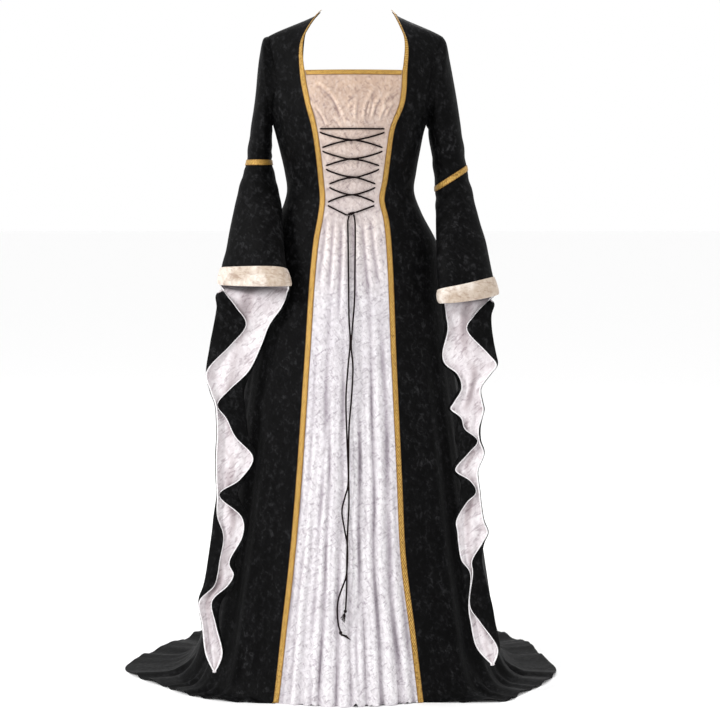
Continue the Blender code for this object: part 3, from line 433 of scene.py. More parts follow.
def creaseHeight(name, side, grid):
    x = grid[..., 0] * (side if side else 1)
    z = grid[..., 2]
    out = np.zeros(x.shape)
    pieces = creaseShape["pieces"]
    rise, least = creaseShape["ends"]
    hollow, away = creaseShape["hollow"]
    for start, through, end, width, height in creases.get(name, ()):
        start, through, end = np.array(start), np.array(through), np.array(end)
        bend = through * 2 - (start + end) / 2  # the curve passes the middle point
        nearest, place = np.full(x.shape, 1e9), np.zeros(x.shape)
        leftOrRight = np.zeros(x.shape)
        marks = [start * (1 - t) ** 2 + bend * 2 * t * (1 - t) + end * t * t
                 for t in np.linspace(0, 1, pieces + 1)]
        for k, (a, b) in enumerate(zip(marks, marks[1:])):
            run = b - a
            long = math.hypot(*run)
            t = ((x - a[0]) * run[0] + (z - a[1]) * run[1]) / long / long
            inside = np.clip(t, 0, 1)
            gapX, gapZ = x - a[0] - run[0] * inside, z - a[1] - run[1] * inside
            far = np.hypot(gapX, gapZ)
            closer = far < nearest
            nearest = np.where(closer, far, nearest)
            place = np.where(closer, (k + inside) / pieces, place)
            leftOrRight = np.where(closer, np.sign(gapX * run[1] - gapZ * run[0]), leftOrRight)
        off = nearest * leftOrRight
        ends = np.clip(np.minimum(place, 1 - place) * rise + least, 0, 1)
        out += height * ends * (bell(off / width) - hollow * bell((off - width * away) / width))
    return out


def offFloor(grid, lowest):
    grid = grid.copy()
    grid[..., 2] = np.maximum(grid[..., 2], lowest)
    return grid


def makeStretch(name, side, seed):
    shares = np.linspace(0, 1, fineColumns[name] + 1)
    grid = stretchGrid(name, side, shares)
    facing = gridNormals(grid) * (side if side else 1)
    push = np.zeros(grid.shape[:2])
    low = slice(hipRow, None)
    push[low] = foldDepth(name, shares, grid[low, :, 2], facing[low, :, 2], seed)
    # painted shade and highlight for each point: darker where the folds sink, lighter where they stand out; the
    # creases add a painted highlight on their crests and painted shade in the hollows beside them; on the front
    # the troughs add a painted shadow
    paintedShade = 0.5 + np.clip(push / foldShadeAndSeam["fold"], -0.5, 0.5) * foldShadeAndSeam["foldPart"]
    crease = creaseHeight(name, side, grid)
    push += crease
    paintedShade += crease / creaseShape["paintedShade"] * 0.5
    if name == "front":
        depth, shadow = troughDepth(shares, grid)
        push -= depth * standing(facing[..., 2])
        paintedShade -= shadow * 0.5
    edge = np.clip(np.minimum(shares, 1 - shares) / foldShadeAndSeam["seam"], 0, 1)
    grid = grid + facing * (push * edge)[..., None]
    if name == "front":
        fromLast = np.arange(len(grid)) - (len(grid) - hemRows)
        lastRows = np.clip(fromLast / (hemRows - 1), 0, 1)[:, None] ** 1.5
        for share, half, height in hemLifts:
            grid[..., 2] += height * lastRows * np.clip(1 - np.abs(shares[None, :] - share) / half, 0, 1)
    if side < 0:
        grid, paintedShade = grid[:, ::-1], paintedShade[:, ::-1]
    return grid, np.clip(paintedShade, 0, 1)


print("stage: body grids")
front = makeStretch("front", 0, 1.0)
sideLeft = makeStretch("side", 1, 2.0)
sideBackLeft = makeStretch("sideBack", 1, 3.0)
backLeft = makeStretch("back", 1, 4.0)
backRight = makeStretch("back", -1, 5.0)
sideBackRight = makeStretch("sideBack", -1, 6.0)
sideRight = makeStretch("side", -1, 7.0)


# materials
def newMaterial(name):
    made = bpy.data.materials.new(name)
    made.use_nodes = True
    nodes, links = made.node_tree.nodes, made.node_tree.links
    return made, nodes, links, nodes["Principled BSDF"]


def addNoise(nodes, links, place, scale, detail, roughness=0.6, distortion=0.0):
    noise = nodes.new("ShaderNodeTexNoise")
    noise.inputs["Scale"].default_value = scale
    noise.inputs["Detail"].default_value = detail
    noise.inputs["Roughness"].default_value = roughness
    noise.inputs["Distortion"].default_value = distortion
    links.new(place, noise.inputs["Vector"])
    return noise.outputs["Fac"]


def addRamp(nodes, links, value, stops):
    ramp = nodes.new("ShaderNodeValToRGB")
    ramp.color_ramp.elements[0].position = stops[0][0]
    ramp.color_ramp.elements[0].color = (*stops[0][1], 1)
    ramp.color_ramp.elements[1].position = stops[-1][0]
    ramp.color_ramp.elements[1].color = (*stops[-1][1], 1)
    for at, colour in stops[1:-1]:
        ramp.color_ramp.elements.new(at).color = (*colour, 1)
    links.new(value, ramp.inputs["Fac"])
    return ramp.outputs["Color"]


def addMix(nodes, links, how, first, second, amount):
    mix = nodes.new("ShaderNodeMix")
    mix.data_type = "RGBA"
    mix.blend_type = how
    links.new(first, mix.inputs[6])
    links.new(second, mix.inputs[7])
    if isinstance(amount, float):
        mix.inputs[0].default_value = amount
    else:
        links.new(amount, mix.inputs[0])
    return mix.outputs[2]


def addPlace(nodes, links, source, turn, scale):  # the place turned in the front plane, and scaled
    mapping = nodes.new("ShaderNodeMapping")
    mapping.vector_type = "TEXTURE"  # turned first, and then divided by its scale
    mapping.inputs["Rotation"].default_value = (0, math.radians(turn), 0)
    mapping.inputs["Scale"].default_value = [1 / size for size in scale]
    links.new(source, mapping.inputs["Vector"])
    return mapping.outputs["Vector"]


def addPaintedShade(nodes, links, stops):  # painted shade: a colour for each height of the cloth's folds, darker in a trough and lighter on a crest
    paintedShade = nodes.new("ShaderNodeAttribute")
    paintedShade.attribute_name = "paintedShade"
    return addRamp(nodes, links, paintedShade.outputs["Fac"], stops)


def addBump(nodes, links, shader, height, strength, distance):
    bump = nodes.new("ShaderNodeBump")
    bump.inputs["Strength"].default_value = strength
    bump.inputs["Distance"].default_value = distance
    links.new(height, bump.inputs["Height"])
    links.new(bump.outputs["Normal"], shader.inputs["Normal"])


def crushedVelvet(name, look):  # flecks where the pile is pressed over, slanting strokes, and painted shade: darker in the folds' troughs and lighter on their crests
    made, nodes, links, shader = newMaterial(name)
    coords = nodes.new("ShaderNodeTexCoord")
    place = addPlace(nodes, links, coords.outputs["Object"], 0, (1, 1, look["stretch"]))
    flecks = addNoise(nodes, links, place, look["fleck"], 5, 0.62, 0.5)
    patches = addNoise(nodes, links, place, look["patch"], 3, 0.55, 0.3)
    fleckColour = addRamp(nodes, links, flecks, look["fleckStops"])
    if "lowStops" in look:  # lower down the colour turns paler and more silver
        lowColour = addRamp(nodes, links, flecks, look["lowStops"])
        split = nodes.new("ShaderNodeSeparateXYZ")
        links.new(coords.outputs["Object"], split.inputs["Vector"])
        height = nodes.new("ShaderNodeMapRange")
        height.inputs["From Min"].default_value = look["high"]
        height.inputs["From Max"].default_value = look["low"]
        links.new(split.outputs["Z"], height.inputs["Value"])
        fleckColour = addMix(nodes, links, "MIX", fleckColour, lowColour, height.outputs["Result"])
    patchColour = addRamp(nodes, links, patches, look["patchStops"])
    colour = addMix(nodes, links, "MULTIPLY", fleckColour, patchColour, 1.0)
    for turn, size in look["strokes"]:  # short pressed lines, longer than they are wide
        line = addPlace(nodes, links, coords.outputs["Object"], turn, (size, size, size * 3.4))
        stroke = addNoise(nodes, links, line, 1.0, 3, 0.55, 0.9)
        strokeColour = addRamp(nodes, links, stroke, look["strokeStops"])
        colour = addMix(nodes, links, "MULTIPLY", colour, strokeColour, 1.0)
    # painted shade and highlight from the folds, multiplied into the colour
    colour = addMix(nodes, links, "MULTIPLY", colour, addPaintedShade(nodes, links, look["paintedShadeStops"]), 1.0)
    links.new(colour, shader.inputs["Base Color"])
    rough = nodes.new("ShaderNodeMapRange")
    rough.inputs["From Min"].default_value = 0.3
    rough.inputs["From Max"].default_value = 0.7
    rough.inputs["To Min"].default_value = look["rough"][0]
    rough.inputs["To Max"].default_value = look["rough"][1]
    links.new(flecks, rough.inputs["Value"])
    links.new(rough.outputs["Result"], shader.inputs["Roughness"])
    shader.inputs["Sheen Weight"].default_value = look["sheen"]
    shader.inputs["Sheen Roughness"].default_value = 0.4
    shader.inputs["Sheen Tint"].default_value = (*look["sheenTint"], 1)
    shader.inputs["Specular IOR Level"].default_value = look["specular"]
    addBump(nodes, links, shader, flecks, look["bump"], 0.002)
    return made


# the last ramp of each cloth is painted shade, from dark in a fold's trough to light on its crest
blackVelvet = crushedVelvet("blackVelvet", {
    "fleck": 110, "patch": 34, "stretch": 0.7, "bump": 0.5, "rough": (0.50, 0.78),
    "sheen": 0.015, "sheenTint": (0.8, 0.82, 0.88), "specular": 0.06,
    "fleckStops": [(0.36, (0.0010, 0.0010, 0.0012)), (0.52, (0.0050, 0.0050, 0.0054)),
                   (0.66, (0.0260, 0.0260, 0.0275))],
    "patchStops": [(0.38, (0.35, 0.35, 0.36)), (0.62, (1.0, 1.0, 1.0))],
    "strokes": [(35, 60)], "strokeStops": [(0.38, (0.35, 0.35, 0.35)), (0.50, (1.0, 1.0, 1.0))],
    "paintedShadeStops": [(0.0, (0.30, 0.30, 0.32)), (0.5, (0.80, 0.80, 0.80)), (1.0, (1.0, 1.0, 1.0))],
})
creamVelvet = crushedVelvet("creamVelvet", {
    "fleck": 150, "patch": 20, "stretch": 0.7, "bump": 0.45, "rough": (0.38, 0.62),
    "sheen": 0.15, "sheenTint": (1.0, 0.98, 0.98), "specular": 0.30,
    "fleckStops": [(0.34, (0.62, 0.44, 0.325)), (0.52, (0.69, 0.51, 0.390)), (0.68, (0.80, 0.64, 0.52))],
    "lowStops": [(0.34, (0.70, 0.67, 0.69)), (0.50, (0.84, 0.81, 0.83)), (0.66, (0.97, 0.95, 0.97))],
    "high": -0.16, "low": -0.62,
    "patchStops": [(0.34, (0.86, 0.85, 0.86)), (0.62, (1.0, 1.0, 1.0))],
    "strokes": [(-32, 62), (58, 74)],
    "strokeStops": [(0.34, (0.68, 0.65, 0.68)), (0.42, (0.97, 0.97, 0.97)), (0.60, (1.0, 1.0, 1.0))],
    "paintedShadeStops": [(0.0, (0.30, 0.27, 0.30)), (0.25, (0.52, 0.49, 0.52)), (0.5, (0.78, 0.77, 0.78)),
                    (0.75, (0.93, 0.93, 0.93)), (1.0, (1.0, 1.0, 1.0))],
})
silverLining = crushedVelvet("silverLining", {
    "fleck": 120, "patch": 24, "stretch": 0.8, "bump": 0.30, "rough": (0.28, 0.52),
    "sheen": 0.15, "sheenTint": (1.0, 0.98, 1.0), "specular": 0.40,
    "fleckStops": [(0.34, (0.72, 0.68, 0.69)), (0.50, (0.82, 0.79, 0.80)), (0.68, (0.92, 0.90, 0.91))],
    "patchStops": [(0.36, (0.84, 0.81, 0.82)), (0.60, (1.0, 1.0, 1.0))],
    "strokes": [(-40, 46)],
    "strokeStops": [(0.34, (0.66, 0.62, 0.64)), (0.46, (0.98, 0.98, 0.98)), (0.60, (1.0, 1.0, 1.0))],
    "paintedShadeStops": [(0.0, (0.36, 0.32, 0.33)), (0.3, (0.66, 0.61, 0.62)), (0.5, (0.90, 0.88, 0.89)),
                    (1.0, (1.0, 1.0, 1.0))],
})
cuffVelvet = crushedVelvet("cuffVelvet", {
    "fleck": 90, "patch": 11, "stretch": 0.9, "bump": 0.35, "rough": (0.34, 0.58),
    "sheen": 0.15, "sheenTint": (1.0, 0.97, 0.94), "specular": 0.30,
    "fleckStops": [(0.34, (0.64, 0.54, 0.46)), (0.50, (0.76, 0.68, 0.60)), (0.68, (0.88, 0.82, 0.76))],
    "patchStops": [(0.44, (0.74, 0.68, 0.62)), (0.54, (1.0, 1.0, 1.0))],
    "strokes": [(10, 50)],
    "strokeStops": [(0.34, (0.74, 0.68, 0.66)), (0.46, (0.98, 0.98, 0.98)), (0.60, (1.0, 1.0, 1.0))],
    "paintedShadeStops": [(0.0, (0.40, 0.34, 0.32)), (0.5, (0.88, 0.87, 0.86)), (1.0, (1.0, 1.0, 1.0))],
})


def wovenBraid():  # a flat gold braid, its threads laid in slanting rows along its length
    made, nodes, links, shader = newMaterial("goldBraid")
    uv = nodes.new("ShaderNodeUVMap")
    uv.uv_map = "run"
    wave = nodes.new("ShaderNodeTexWave")
    wave.inputs["Scale"].default_value = 0.5
    wave.inputs["Distortion"].default_value = 1.2
    wave.inputs["Detail"].default_value = 1
    wave.bands_direction = "DIAGONAL"
    mapping = nodes.new("ShaderNodeMapping")
    mapping.inputs["Scale"].default_value = (260, 260, 1)
    links.new(uv.outputs["UV"], mapping.inputs["Vector"])
    links.new(mapping.outputs["Vector"], wave.inputs["Vector"])
    coords = nodes.new("ShaderNodeTexCoord")
    grain = addNoise(nodes, links, coords.outputs["Object"], 260, 3, 0.65)
    threads = addRamp(nodes, links, wave.outputs["Fac"], [
        (0.15, (0.27, 0.140, 0.022)), (0.50, (0.50, 0.275, 0.048)), (0.85, (0.70, 0.46, 0.13))])
    glints = addRamp(nodes, links, grain, [
        (0.36, (0.48, 0.42, 0.32)), (0.52, (0.92, 0.90, 0.86)), (0.66, (1.0, 1.0, 1.0))])
    colour = addMix(nodes, links, "MULTIPLY", threads, glints, 1.0)
    # painted shade along the braid's edges
    edges = addPaintedShade(nodes, links, [(0.0, (0.50, 0.42, 0.34)), (0.4, (1.0, 1.0, 1.0))])
    links.new(addMix(nodes, links, "MULTIPLY", colour, edges, 1.0), shader.inputs["Base Color"])
    shader.inputs["Metallic"].default_value = 0.30
    shader.inputs["Roughness"].default_value = 0.45
    shader.inputs["Specular IOR Level"].default_value = 0.3
    addBump(nodes, links, shader, wave.outputs["Fac"], 0.5, 0.0006)
    return made


def braidedLace():
    made, nodes, links, shader = newMaterial("darkLace")
    coords = nodes.new("ShaderNodeTexCoord")
    grain = addNoise(nodes, links, coords.outputs["Object"], 600, 3, 0.6)
    links.new(addRamp(nodes, links, grain, [
        (0.35, (0.003, 0.001, 0.001)), (0.60, (0.009, 0.004, 0.004)), (0.75, (0.030, 0.014, 0.013))]),
        shader.inputs["Base Color"])
    shader.inputs["Roughness"].default_value = 0.70
    shader.inputs["Specular IOR Level"].default_value = 0.08
    addBump(nodes, links, shader, grain, 0.6, 0.0006)
    return made


def rolledPiping():
    made, nodes, links, shader = newMaterial("pipingVelvet")
    coords = nodes.new("ShaderNodeTexCoord")
    grain = addNoise(nodes, links, coords.outputs["Object"], 160, 3)
    links.new(addRamp(nodes, links, grain, [(0.35, (0.70, 0.67, 0.68)), (0.65, (0.92, 0.90, 0.91))]),
              shader.inputs["Base Color"])
    shader.inputs["Roughness"].default_value = 0.45
    return made


goldBraid = wovenBraid()
darkLace = braidedLace()
pipingVelvet = rolledPiping()


# cloth walls: an outer and an inner grid of points, closed round their rim
def clothWall(name, outer, inner, material, closed=False, flip=False, used=None, paintedShade=None):
    rows, columns = outer.shape[:2]
    cells = np.ones((rows - 1, columns if closed else columns - 1), bool) if used is None else used
    r, c = np.nonzero(cells)
    after = (c + 1) % columns
    under = r + 1
    quads = np.stack([r * columns + c, under * columns + c, under * columns + after, r * columns + after], 1)
    if flip:
        quads = quads[:, ::-1]
    total = rows * columns
    faces = np.concatenate([quads, quads[:, ::-1] + total])
    edges = np.concatenate([quads[:, [0, 1]], quads[:, [1, 2]], quads[:, [2, 3]], quads[:, [3, 0]]])
    forward = edges[:, 0].astype(np.int64) * total + edges[:, 1]
    backward = edges[:, 1].astype(np.int64) * total + edges[:, 0]
    rim = edges[~np.isin(backward, forward)]
    faces = np.concatenate([faces, np.stack([rim[:, 1], rim[:, 0], rim[:, 0] + total, rim[:, 1] + total], 1)])
    points = np.concatenate([outer.reshape(-1, 3), inner.reshape(-1, 3)])
    keep, faces = np.unique(faces, return_inverse=True)
    faces = faces.reshape(-1, 4)
    mesh = bpy.data.meshes.new(name)
    mesh.from_pydata(points[keep].tolist(), [], faces.tolist())
    width = np.linalg.norm(np.diff(outer, axis=1), axis=2).mean()
    height = np.linalg.norm(np.diff(outer, axis=0), axis=2).mean()
    place = keep % total
    runs = np.stack([(place % columns) * width, (place // columns) * height], 1)
    layer = mesh.uv_layers.new(name="run")
    corners = np.empty(len(mesh.loops), np.int32)
    mesh.loops.foreach_get("vertex_index", corners)
    layer.data.foreach_set("uv", runs[corners].ravel())
    heights = np.full(total, 0.5) if paintedShade is None else paintedShade.reshape(-1)  # painted shade for each point: 0 the darkest, in a trough, 1 the lightest, on a crest
    layer = mesh.attributes.new("paintedShade", "FLOAT", "POINT")
    layer.data.foreach_set("value", heights[place].astype(np.float32))
    mesh.shade_smooth()
    mesh.set_sharp_from_angle(angle=math.radians(50))
    mesh.materials.append(material)
    piece = bpy.data.objects.new(name, mesh)
    bpy.context.scene.collection.objects.link(piece)
    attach(piece, "root")
    return piece


def standsFor(piece, node):
    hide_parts(node)
    return piece


def closeSeam(grid, gap):  # both edges move in by half a seam
    grid = grid.copy()
    for edge, inside in ((0, 1), (-1, -2)):
        step = grid[:, inside] - grid[:, edge]
        grid[:, edge] += step / np.linalg.norm(step, axis=1, keepdims=True) * gap / 2
    return grid


def bodyNormals(grid, first):
    facing = gridNormals(grid[first:])
    if first == 0:
        facing[0, :, 1] = 0
        facing[0, :, 2] = np.abs(facing[0, :, 2]) + 1e-6
        facing[0] /= np.linalg.norm(facing[0], axis=1, keepdims=True)
    return facing


def bodyPanel(name, node, parts, material, first, used=None):
    # each part's painted shade is joined along with its points
    grid, paintedShade = parts[0]
    for part, partPaintedShade in parts[1:]:
        grid = np.concatenate([grid, part[:, 1:]], axis=1)
        paintedShade = np.concatenate([paintedShade, partPaintedShade[:, 1:]], axis=1)
    facing = bodyNormals(grid, first)
    grid = grid[first:]
    outer = grid.copy()
    outer[..., 2] = np.maximum(outer[..., 2], floorZ + body["cloth"] * np.abs(facing[..., 2]))
    inner = offFloor(outer - facing * body["cloth"], floorZ)
    layers = []
    for layer in (outer, inner):
        layer = closeSeam(layer, body["seamGap"])
        if first == 0:
            step = layer[1] - layer[0]
            layer[0] += step / np.linalg.norm(step, axis=1, keepdims=True) * body["seamGap"] / 2
        layers.append(layer)
    piece = clothWall(name, *layers, material, used=used, paintedShade=paintedShade[first:])
    standsFor(piece, node)
    return piece, outer, facing


print("stage: body panels")
panel, panelOuter, panelFacing = bodyPanel("frontPanel", "front_panel", [front], creamVelvet, neckRow)
leftFront, leftOuter, leftFacing = bodyPanel("sideFrontLeft", "side_front_left", [sideLeft], blackVelvet, 0)
rightFront, rightOuter, rightFacing = bodyPanel(
    "sideFrontRight", "side_front_right", [sideRight], blackVelvet, 0)
totalRows = front[0].shape[0]


def backCells(sideCells, otherCells, sideFirst):  # no cloth above the low back neckline
    used = np.ones((totalRows - 1, sideCells + otherCells), bool)
    if sideFirst:
        used[:neckRow, sideCells:] = False
    else:
        used[:neckRow, :otherCells] = False
    return used


sideCells, otherCells = fineColumns["sideBack"], fineColumns["back"]
leftBack, leftBackOuter, leftBackFacing = bodyPanel(
    "backLeft", "back_left", [sideBackLeft, backLeft], blackVelvet, 0, backCells(sideCells, otherCells, True))
rightBack, rightBackOuter, rightBackFacing = bodyPanel(
    "backRight", "back_right", [backRight, sideBackRight], blackVelvet, 0,
    backCells(sideCells, otherCells, False))


# sleeves, as in the part, with finer rows and columns
sleeve = {
    "columns": 96,           # round the sleeve
    "steps": 6,              # rows between two rings of the tables
    "pointSteps": 6,         # columns between two places across the hanging point
    "upShares": [1.0, 0.97, 0.90, 0.79, 0.64, 0.465, 0.42, 0.21, 0.0],
    "armholeGap": 0.0004,
    "tuckGap": 0.0006,
    "tuckIn": 0.004,
    "bodyClear": 0.006,
    "skirtClear": 0.016,
    "lip": 0.013,
    "lipShare": 0.45,
    "liningWall": 0.001,
    "upper": {
        -1: [
            # outer x, outer z, inner x, inner z, half depth
            (-0.190, -0.058, -0.170, -0.247, 0.055),
            (-0.197, -0.095, -0.171, -0.251, 0.055),
            (-0.202, -0.135, -0.171, -0.257, 0.053),
            (-0.207, -0.178, -0.171, -0.265, 0.051),
            (-0.215, -0.232, -0.171, -0.283, 0.047),
            (-0.222, -0.281, -0.172, -0.304, 0.045),
            (-0.227, -0.324, -0.172, -0.324, 0.044),
        ],
        1: [
            (0.207, -0.068, 0.165, -0.247, 0.055),
            (0.215, -0.105, 0.167, -0.252, 0.055),
            (0.222, -0.146, 0.168, -0.262, 0.053),
            (0.231, -0.199, 0.171, -0.281, 0.051),
            (0.239, -0.249, 0.175, -0.303, 0.047),
            (0.246, -0.292, 0.178, -0.331, 0.045),
            (0.252, -0.335, 0.183, -0.381, 0.044),
        ],
    },
    "lower": {
        -1: [
            # outer x, y, z, inner x, y, z, half depth
            (-0.234, -0.010, -0.357, -0.164, -0.030, -0.359, 0.043),
            (-0.242, -0.020, -0.394, -0.157, -0.054, -0.389, 0.042),
            (-0.249, -0.030, -0.430, -0.150, -0.078, -0.419, 0.041),
            (-0.256, -0.042, -0.469, -0.147, -0.102, -0.460, 0.041),
            (-0.263, -0.054, -0.512, -0.143, -0.124, -0.504, 0.041),
            (-0.271, -0.063, -0.542, -0.139, -0.137, -0.536, 0.042),
            (-0.280, -0.072, -0.585, -0.129, -0.146, -0.585, 0.043),
        ],
        1: [
            (0.260, -0.010, -0.378, 0.185, -0.030, -0.409, 0.043),
            (0.267, -0.024, -0.422, 0.187, -0.062, -0.439, 0.042),
            (0.275, -0.036, -0.456, 0.187, -0.086, -0.472, 0.041),
            (0.285, -0.048, -0.490, 0.187, -0.108, -0.506, 0.041),
            (0.293, -0.060, -0.529, 0.187, -0.126, -0.548, 0.041),
            (0.299, -0.067, -0.559, 0.189, -0.137, -0.581, 0.042),
            (0.311, -0.074, -0.604, 0.193, -0.146, -0.621, 0.043),
        ],
    },
    "point": {
        -1: [
            # z, outer fold, outer edge, inner fold, inner edge
            (-0.601, -0.283, -0.266, -0.131, -0.134),
            (-0.632, -0.285, -0.243, -0.142, -0.146),
            (-0.669, -0.292, -0.223, -0.168, -0.172),
            (-0.712, -0.300, -0.257, -0.185, -0.189),
            (-0.764, -0.306, -0.306, -0.210, -0.214),
            (-0.806, -0.299, -0.299, -0.226, -0.258),
            (-0.836, -0.288, -0.288, -0.224, -0.282),
            (-0.865, -0.285, -0.285, -0.221, -0.262),
            (-0.903, -0.284, -0.284, -0.216, -0.243),
            (-0.947, -0.286, -0.286, -0.201, -0.205),
            (-0.993, -0.285, -0.285, -0.222, -0.234),
            (-1.024, -0.283, -0.283, -0.238, -0.277),
            (-1.067, -0.289, -0.282, -0.217, -0.230),
            (-1.109, -0.294, -0.268, -0.219, -0.227),
            (-1.160, -0.301, -0.276, -0.242, -0.254),
            (-1.187, -0.305, -0.280, -0.238, -0.245),
            (-1.211, -0.310, -0.288, -0.242, -0.258),
            (-1.242, -0.319, -0.319, -0.270, -0.290),
            (-1.287, -0.312, -0.312, -0.276, -0.281),
            (-1.345, -0.304, -0.304, -0.263, -0.266),
            (-1.386, -0.287, -0.287, -0.281, -0.281),
        ],
        1: [
            (-0.622, 0.305, 0.288, 0.195, 0.199),
            (-0.649, 0.300, 0.263, 0.197, 0.202),
            (-0.680, 0.301, 0.248, 0.200, 0.205),
            (-0.726, 0.308, 0.290, 0.190, 0.194),
            (-0.752, 0.311, 0.311, 0.196, 0.200),
            (-0.773, 0.297, 0.297, 0.220, 0.226),
            (-0.802, 0.277, 0.277, 0.228, 0.234),
            (-0.830, 0.280, 0.280, 0.214, 0.218),
            (-0.846, 0.283, 0.283, 0.207, 0.211),
            (-0.864, 0.279, 0.279, 0.226, 0.233),
            (-0.887, 0.275, 0.272, 0.223, 0.241),
            (-0.911, 0.276, 0.274, 0.221, 0.268),
            (-0.938, 0.283, 0.283, 0.230, 0.247),
            (-0.972, 0.270, 0.270, 0.214, 0.220),
            (-0.995, 0.271, 0.271, 0.231, 0.252),
            (-1.018, 0.274, 0.274, 0.232, 0.264),
            (-1.040, 0.276, 0.276, 0.230, 0.243),
            (-1.075, 0.281, 0.281, 0.218, 0.222),
            (-1.101, 0.290, 0.290, 0.220, 0.224),
            (-1.125, 0.281, 0.277, 0.222, 0.226),
            (-1.158, 0.277, 0.256, 0.228, 0.232),
            (-1.187, 0.282, 0.257, 0.233, 0.251),
            (-1.248, 0.297, 0.250, 0.242, 0.246),
            (-1.283, 0.303, 0.272, 0.246, 0.250),
            (-1.334, 0.312, 0.308, 0.258, 0.262),
            (-1.372, 0.300, 0.300, 0.294, 0.294),
        ],
    },
    "pointDepth": [(-0.590, -0.096), (-0.750, -0.122), (-1.000, -0.165), (-1.200, -0.205), (-1.420, -0.262)],
    "pointShape": [
        # part, share across it, lips forward
        ("outer", 0.00, 1.15), ("outer", 0.55, 1.00), ("outer", 1.00, 0.50), ("back", 0.22, -0.15),
        ("back", 0.50, 0.25), ("back", 0.78, -0.15), ("inner", 0.00, 0.50), ("inner", 0.45, 1.00),
        ("inner", 1.00, 1.15),
    ],
}


def throughPoints(rows, steps):  # a smooth run through the rows, with steps between two of them
    rows = np.asarray(rows)
    last = len(rows) - 1
    out = []
    for i in range(last):
        a, b, c, d = rows[max(i - 1, 0)], rows[i], rows[i + 1], rows[min(i + 2, last)]
        for step in range(steps):
            t = step / steps
            out.append(0.5 * ((2 * b) + (c - a) * t + (2 * a - 5 * b + 4 * c - d) * t * t
                              + (3 * b - a - 3 * c + d) * t * t * t))
    out.append(rows[-1])
    return np.array(out)


def clearOfSkirt(point, margin):
    width, front, back, middle = section(float(point[2]))
    out = (point[0] - middle) / (width + margin)
    if abs(out) >= 1:
        return point
    surface = -(front + margin) * math.sqrt(1 - out * out)
    return np.array((point[0], min(point[1], surface), point[2]))


def sleeveRing(outerPoint, innerPoint, depth, margin=0.0):
    outerPoint, innerPoint = np.array(outerPoint), np.array(innerPoint)
    centre, reach = (outerPoint + innerPoint) / 2, (innerPoint - outerPoint) / 2
    forward = np.array((-reach[1], reach[0], 0.0))
    forward /= np.linalg.norm(forward)
    if forward[1] > 0:
        forward = -forward
    ring = []
    for k in range(sleeve["columns"]):
        turn = 2 * math.pi * k / sleeve["columns"]
        point = centre + reach * math.cos(turn) + forward * depth * math.sin(turn)
        ring.append(clearOfSkirt(point, margin) if margin else point)
    return np.array(ring)


def armholeRing(side):
    ring = []
    half = sleeve["columns"] // 2
    keys = np.linspace(0, half, len(sleeve["upShares"]))
    for k in range(sleeve["columns"]):
        if k <= half:
            up = float(np.interp(k, keys, sleeve["upShares"][::-1]))
            point = upperPoint("side", side, 1.0, up)
        else:
            up = float(np.interp(k - half, keys, sleeve["upShares"]))
            point = upperPoint("sideBack", side, 0.0, up)
        ring.append((point[0] + side * sleeve["armholeGap"], point[1], point[2]))
    return np.array(ring)


def pointRow(row):  # across the hanging point, from its outer free edge round its back
    z, outFold, outEdge, inFold, inEdge = row
    y = along(sleeve["pointDepth"], 1, z, False)
    lip = min(sleeve["lip"], abs(inFold - outFold) * sleeve["lipShare"])
    spans = {"outer": (outEdge, outFold), "back": (outFold, inFold), "inner": (inFold, inEdge)}
    line = []
    for span, share, lips in sleeve["pointShape"]:
        start, end = spans[span]
        line.append((start + (end - start) * share, y - lip * lips, z))
    line = np.array(line)
    shift = max(point[1] - clearOfSkirt(point, sleeve["skirtClear"])[1] for point in line)
    line[:, 1] -= shift
    return line


def sleeveGrid(side):
    columns, half, steps = sleeve["columns"], sleeve["columns"] // 2, sleeve["steps"]
    rings = [armholeRing(side)]
    for outX, outZ, inX, inZ, depth in sleeve["upper"][side]:
        rings.append(sleeveRing((outX, 0, outZ), (inX, 0, inZ), depth))
    seam = len(rings) - 1
    for outX, outY, outZ, inX, inY, inZ, depth in sleeve["lower"][side]:
        rings.append(sleeveRing((outX, outY, outZ), (inX, inY, inZ), depth, sleeve["bodyClear"]))
    hem = len(rings) - 1
    tube = throughPoints(rings, steps)
    ends = [list(rings[-2][k] for k in range(half, columns)) + [rings[-2][0]],
            list(rings[-1][k] for k in range(half, columns)) + [rings[-1][0]]]
    for row in sleeve["point"][side]:
        ends.append(throughPoints(pointRow(row), sleeve["pointSteps"]))
    tail = throughPoints(np.array(ends), steps)[steps:]
    grid = np.concatenate([tube, np.repeat(tube[-1:], len(tail) - 1, axis=0)])
    grid[len(tube):, half:] = tail[1:, :-1]
    grid[len(tube):, 0] = tail[1:, -1]
    return grid, seam * steps, hem * steps


wrinkle = {
    "flare": 0.0022,   # how far each kind moves the cloth out
    "elbow": 0.0014,
    "arm": 0.0012,
    "elbowRows": 9.0,
    "calm": (3, 4, 4),  # rows without any beside the band, the mouth and the armhole
}
cuff = {
    "past": 6,         # columns that it runs past the mouth's ends
    "middle": 0.90,    # its height, in rings of the sleeve's table
    "end": 0.60,
    "round": 0.6,
    "inner": [0.0006, 0.0010, 0.0014, 0.0016, 0.0016, 0.0014, 0.0010, 0.0006],
    "outer": [0.0020, 0.0036, 0.0044, 0.0047, 0.0048, 0.0046, 0.0040, 0.0022],
}
piping = {"radius": 0.0017, "inside": 0.0012, "points": 420}
band = {"half": 0.0065, "gap": 0.0006, "wall": 0.0014, "across": [0.55, 0.95, 1.0, 1.0, 1.0, 0.95, 0.55]}
liningShape = {
    "fold": 0.0014,
    "spine": 0.0016,
    "spineHalf": 0.045,
    "lift": 0.0006,
    "flat": (0.26, 0.1),   # none where the cloth turns over at its folds
    # painted shade: its plain level, how much the folds and the spine change it; then the painted shade near the
    # free edges, held light
    "shade": (0.62, 0.34, 0.55),
    "edgeShade": 0.9,
}


